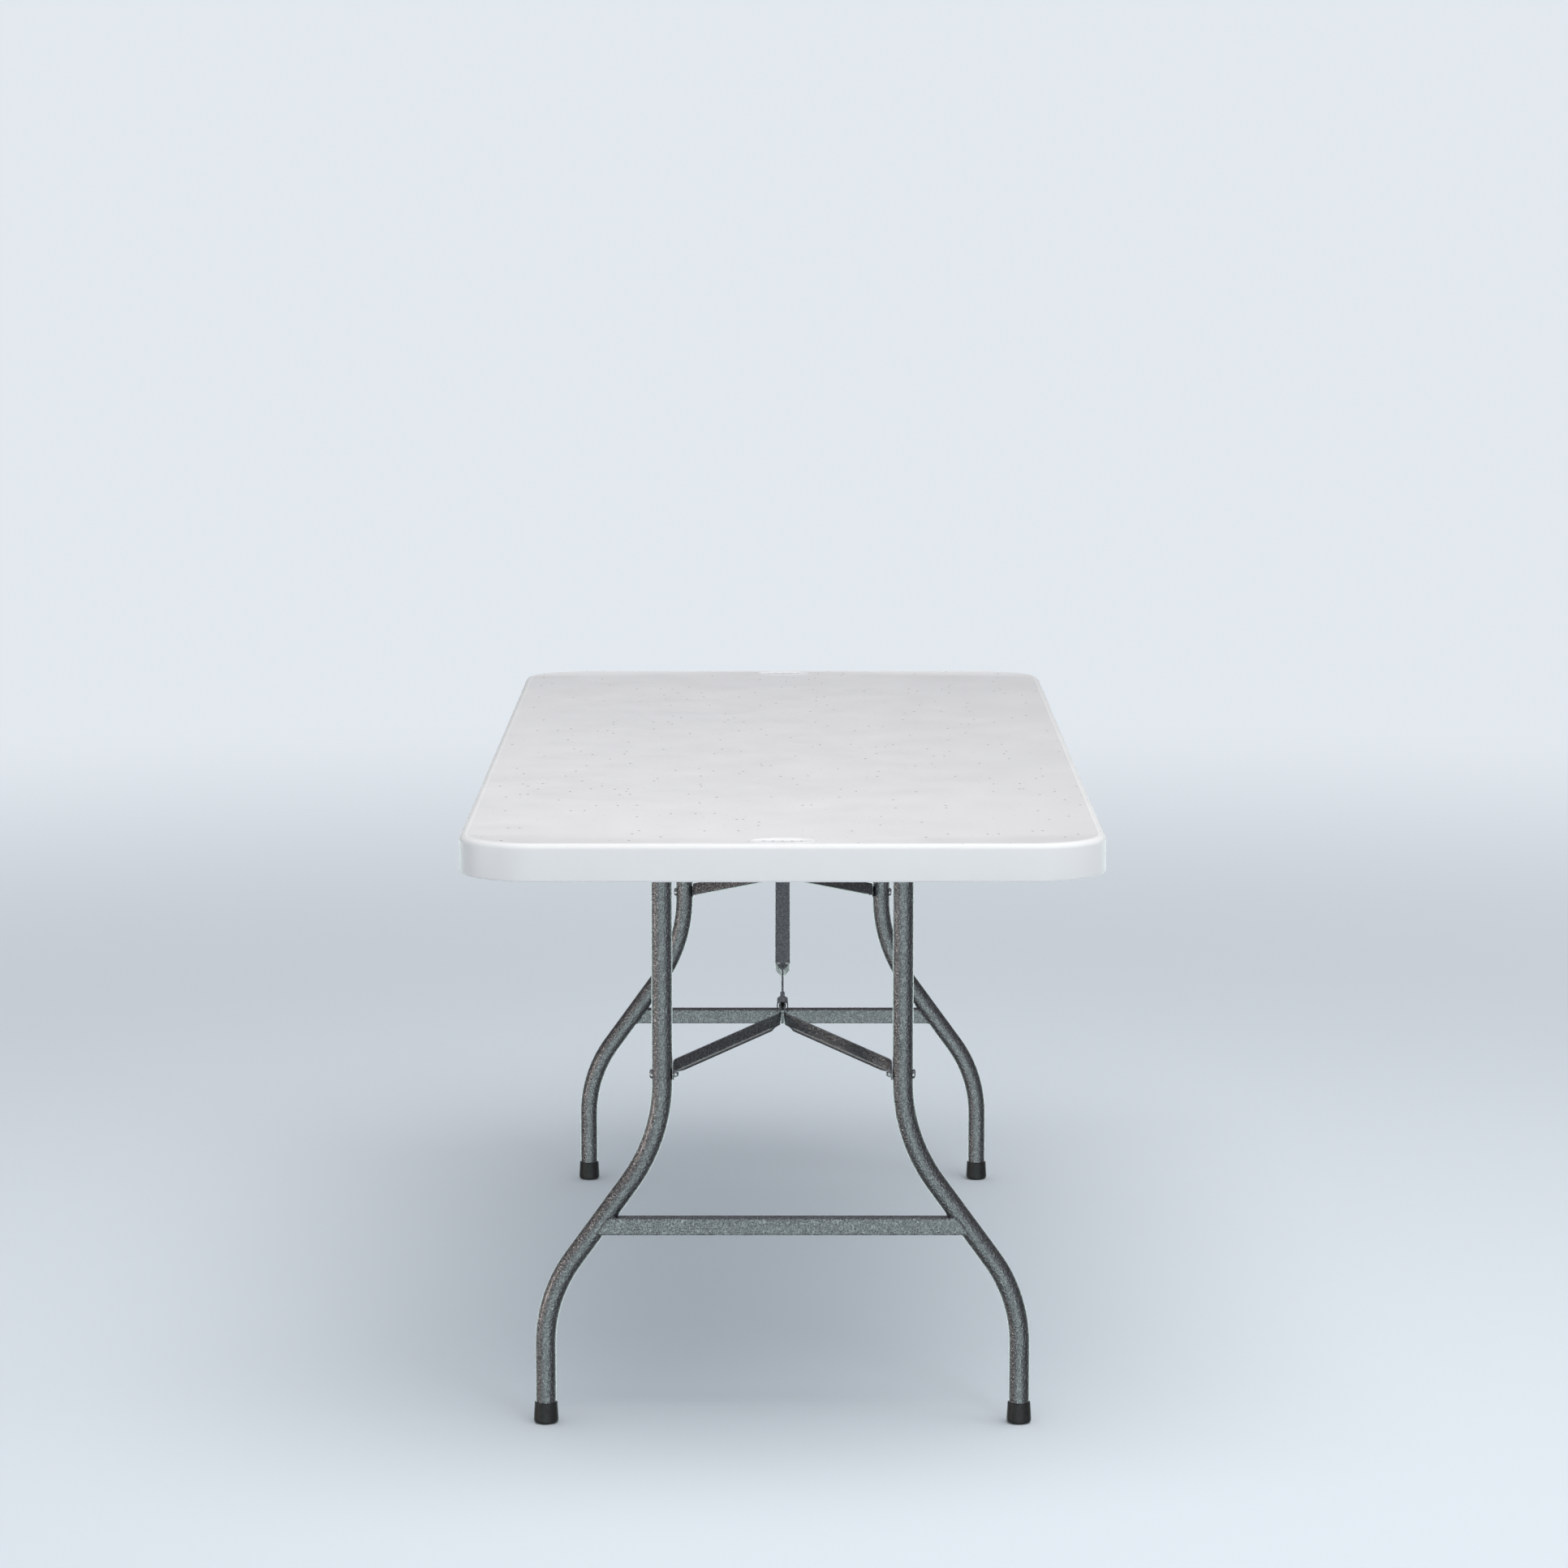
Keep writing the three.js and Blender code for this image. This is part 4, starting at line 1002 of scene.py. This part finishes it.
def v_rivet(end):
    """The rivet that joins both arms to the link."""
    seat = 3.5 * MM
    shank = 2.5 * MM
    crown = [(r, seat + h) for r, h in dome(3.6 * MM, 1.2 * MM)]
    right = [(shank, seat)] + crown
    left = [(r, -along) for r, along in reversed(right)]
    origin = in_brace([(0, arm_length, 0)])[0]
    shells = [turned(left + right, origin, (1, 0, 0), 28)]
    piece(f"{end}_joint_rivet", shells, FINISHES["rivet"], f"{end}_v", f"{end}_v_rivet", end)


def arch(half, low, high, wall, bend, crease):
    """A folded channel, open below, as (x, up) points, with a crease along the middle of its web."""
    steps = 6
    inner_half = max(half - wall, 0.02 * MM)
    bend = min(bend, half * 0.85)
    inner_bend = max(min(bend - wall * 0.7, inner_half * 0.8), 0.01 * MM)
    outer = arc((half - bend, high - bend), bend, 0, math.pi / 2, steps)
    inner = arc((inner_half - inner_bend, high - wall - inner_bend), inner_bend, 0, math.pi / 2, steps)
    right = [(half, low)] + outer
    left = [(-x, z) for x, z in reversed(right)]
    inner_right = [(inner_half, low)] + inner
    inner_left = [(-x, z) for x, z in reversed(inner_right)]
    outside = right + [(0, high - crease)] + left
    inside = inner_left[::-1] + [(0, high - wall - crease)] + inner_right[::-1]
    return outside + inside


def centre_link(end):
    """A folded channel, pinched together over its last stretch into a flat neck that holds the joint."""
    wall = 1.4 * MM
    bend = 2.4 * MM
    neck_half, body_half = 1.4, 9.25
    crease_depth = 3.2 * MM
    half_height = 6 * MM
    button_radius = 2.4 * MM
    shoulder = arm_length + 75.5 * MM
    body = shoulder + 20 * MM
    stop = brace_length + 6 * MM
    stations = [arm_length - ARM_TAB_RADIUS, arm_length - 4 * MM, arm_length]
    stations += [shoulder - 2 * MM + (body + 4 * MM - shoulder) * k / 18 for k in range(19)]
    stations += [body + (stop - body) * k / 6 for k in range(1, 7)]
    rings = []
    for along in stations:
        opened = min(max((along - shoulder) / (body - shoulder), 0.0), 1.0)
        open_share = 0.6 * opened + 0.4 * smooth(opened)
        half = (neck_half + (body_half - neck_half) * open_share) * MM
        crease = crease_depth * math.sin(math.pi * open_share) ** 2
        section = arch(half, -half_height, half_height, wall, bend, crease)
        nose = along - (arm_length - ARM_TAB_RADIUS)
        squeeze = 1.0 if nose > ARM_TAB_RADIUS else math.sqrt(1 - (1 - nose / ARM_TAB_RADIUS) ** 2 * 0.75)
        rings.append([(x, along, z * squeeze) for x, z in section])
    shells = [brace_shell(loft(rings))]
    outward = Vector(in_brace([(0, 0, 1)])[0]) - Vector(in_brace([(0, 0, 0)])[0])
    for side in (-1, 1):
        button = [(0.0, -0.5 * MM), (button_radius, -0.5 * MM)] + dome(button_radius, 0.8 * MM)
        foot = in_brace([(side * 5.4 * MM, body - 5 * MM, half_height - 0.2 * MM)])[0]
        points, faces = turned(button, foot, outward, 24)
        # Painted highlight: the buttons take the pale highlight colour at a share of 0.45.
        shells.append((points, faces, [0.45] * len(points)))
    piece(f"{end}_folded_link", shells, FINISHES["steel"], f"{end}_link", f"{end}_link", end)


def lock_saddle(end):
    """A bottle-shaped plate over the joint: two prongs in front, and a collar round the neck behind."""
    start = arm_length - 7.4 * MM
    prong = start + 5 * MM
    wide_end = arm_length + 3 * MM
    collar = wide_end + 9 * MM
    stop = collar + 7 * MM
    top, skirt, rim = 10 * MM, -4.7 * MM, 6 * MM
    wall = 1.4 * MM
    bend = 3.6 * MM
    ease = 0.4 * MM
    wide_half, collar_half = 7.0, 3.0
    top_drop = 1.2 * MM
    stations = [(start, skirt), (start + ease, skirt), (prong - 1.5 * MM, skirt), (prong - ease, -3.2 * MM),
                (prong, 0.0), (prong + 0.6 * MM, rim - 1 * MM), (prong + 1.8 * MM, rim)]
    stations += [(wide_end + (collar - wide_end) * k / 10, rim) for k in range(1, 10)]
    stations += [(collar, skirt), (collar + ease, skirt), (stop - ease, skirt), (stop, skirt)]
    rings = []
    for along, low in stations:
        narrow = smooth((along - wide_end) / (collar - wide_end))
        half = (wide_half - (wide_half - collar_half) * narrow) * MM
        section = arch(half, low, top - top_drop * narrow, wall, bend, 0.0)
        rings.append([(x, along, z) for x, z in section])
    shells = [brace_shell(loft(rings))]
    outer_half, inner_half = 3.0 * MM, 1.7 * MM
    outer_low, inner_low = -7.8 * MM, -6.3 * MM
    corners = [(-outer_half, skirt), (-outer_half, outer_low), (outer_half, outer_low), (outer_half, skirt),
               (inner_half, skirt), (inner_half, inner_low), (-inner_half, inner_low), (-inner_half, skirt)]
    sole = fillet(corners, [0, 1.2 * MM, 1.2 * MM, 0, 0, 0.2 * MM, 0.2 * MM, 0], 4)
    shells.append(brace_shell(loft([[(x, along, z) for x, z in sole] for along in (collar, stop)])))
    piece(f"{end}_sliding_lock", shells, FINISHES["steel"], f"{end}_lock", f"{end}_lock", end)


# ---------------------------------------------------------------- assembly

tabletop()
crossbar()
for side_name in ("left", "right"):
    side_rail(side_name)
for number in range(1, 9):
    rail_screw(number)
for end in ENDS:
    end_pad(end)
    link_bracket(end)
    link_pin(end)
    pivot_tube(end)
    cross_rail(end)
    v_rivet(end)
    centre_link(end)
    lock_saddle(end)
    for side in (-1, 1):
        leftward = side < 0 if end == "front" else side > 0
        side_name = "left" if leftward else "right"
        leg_tube(end, side, side_name)
        foot_cap(end, side, side_name)
        pivot_bushing(end, side, side_name)
        brace_bolt(end, side, side_name)
        v_arm(end, side, side_name)
        brace_nut(end, side, side_name)


# ---------------------------------------------------------------- floor, light and camera

BACKDROP = (0.76, 0.81, 0.86)


def studio_floor():
    """A pale floor that fades into the background and can't be seen from below."""
    half = 14.0
    corners = [(-half, -half, 0), (half, -half, 0), (half, half, 0), (-half, half, 0)]
    mesh = bpy.data.meshes.new("studio_floor")
    mesh.from_pydata(corners, [], [(0, 1, 2, 3)])
    floor = bpy.data.objects.new("studio_floor", mesh)
    bpy.context.collection.objects.link(floor)
    nodes = Nodes("studio_floor")
    nodes.shader.inputs["Base Color"].default_value = (*BACKDROP, 1.0)
    nodes.shader.inputs["Roughness"].default_value = 0.8
    nodes.shader.inputs["Specular IOR Level"].default_value = 0.0
    distance = nodes.add("ShaderNodeVectorMath", operation="LENGTH")
    nodes.link(nodes.place, distance.inputs[0])
    fade = nodes.add("ShaderNodeMapRange")
    nodes.link(distance.outputs["Value"], fade.inputs["Value"])
    fade.inputs["From Min"].default_value = 1.8
    fade.inputs["From Max"].default_value = 6.5
    fade.interpolation_type = "SMOOTHSTEP"
    below = nodes.add("ShaderNodeNewGeometry").outputs["Backfacing"]
    clear = nodes.math("MAXIMUM", fade.outputs["Result"], below)
    empty = nodes.add("ShaderNodeBsdfTransparent")
    blend = nodes.blend(clear, nodes.shader.outputs["BSDF"], empty.outputs["BSDF"])
    nodes.link(blend, nodes.tree.nodes["Material Output"].inputs["Surface"])
    floor.data.materials.append(nodes.material)
    floor.visible_glossy = False


def studio_world():
    """Soft even light all round, seen as the pale background; gloss mirrors a low soft box at each end."""
    world = bpy.data.worlds.new("studio")
    bpy.context.scene.world = world
    world.use_nodes = True
    graph = Graph(world.node_tree)
    light = graph.tree.nodes["Background"]
    light.inputs["Color"].default_value = (0.93, 0.96, 1.0, 1.0)
    light.inputs["Strength"].default_value = 0.56
    seen = graph.add("ShaderNodeBackground", strength=1.0)
    seen.inputs["Color"].default_value = (*BACKDROP, 1.0)
    heading = graph.add("ShaderNodeSeparateXYZ")
    graph.link(graph.add("ShaderNodeTexCoord").outputs["Generated"], heading.inputs[0])
    lengthwise = graph.math("ABSOLUTE", heading.outputs["Y"], 0.0)
    near_floor = graph.add("ShaderNodeMapRange")
    graph.link(heading.outputs["Z"], near_floor.inputs["Value"])
    near_floor.inputs["From Min"].default_value = 0.10
    near_floor.inputs["From Max"].default_value = -0.06
    low_side = graph.math("MULTIPLY", lengthwise, near_floor.outputs["Result"])
    mirrored = graph.add("ShaderNodeBackground", strength=1.0)
    softbox = graph.ramp(low_side, [(0.60, (0.15, 0.145, 0.155)), (0.92, (2.2, 2.65, 2.6))])
    graph.link(softbox, mirrored.inputs["Color"])
    path = graph.add("ShaderNodeLightPath").outputs
    unseen = graph.blend(path["Is Glossy Ray"], light.outputs["Background"], mirrored.outputs["Background"])
    all_rays = graph.blend(path["Is Camera Ray"], unseen, seen.outputs["Background"])
    graph.link(all_rays, graph.tree.nodes["World Output"].inputs["Surface"])


def soft_light(name, place, target, width, height, power, colour, matte=True):
    """A lamp the camera doesn't see. Without matte it only shows as a highlight in gloss and metal."""
    data = bpy.data.lights.new(name, "AREA")
    data.shape = "RECTANGLE"
    data.size, data.size_y = width, height
    data.energy = power
    data.color = colour
    lamp = bpy.data.objects.new(name, data)
    bpy.context.collection.objects.link(lamp)
    lamp.location = place
    lamp.visible_camera = False
    lamp.visible_diffuse = matte
    aim = Vector(target) - Vector(place)
    lamp.rotation_euler = aim.to_track_quat("-Z", "Y").to_euler()


def camera():
    """A long lens in front of the table, looking a little down at it."""
    data = bpy.data.cameras.new("camera")
    data.sensor_width = 36.0
    data.lens = 122.15
    data.clip_end = 100.0
    view = bpy.data.objects.new("camera", data)
    bpy.context.collection.objects.link(view)
    view.location = (0.0018, -7.0287, 1.6181)
    looking_down = 7.5517
    view.rotation_euler = (math.radians(90 - looking_down), 0.0, 0.0)
    bpy.context.scene.camera = view


studio_floor()
studio_world()
soft_light("overhead", (0.6, -1.2, 3.9), (0.1, -0.2, 0.7), 4.0, 3.6, 96, (1.0, 0.985, 0.97))
soft_light("key", (2.6, -6.2, 2.2), (0, -0.5, 0.5), 1.4, 1.8, 46, (0.88, 0.95, 1.0))
soft_light("edge", (-4.2, -1.5, 0.7), (-0.2, -0.7, 0.4), 0.4, 1.2, 60, (1.0, 0.88, 0.80), matte=False)
camera()
bpy.context.scene.view_settings.view_transform = "Standard"
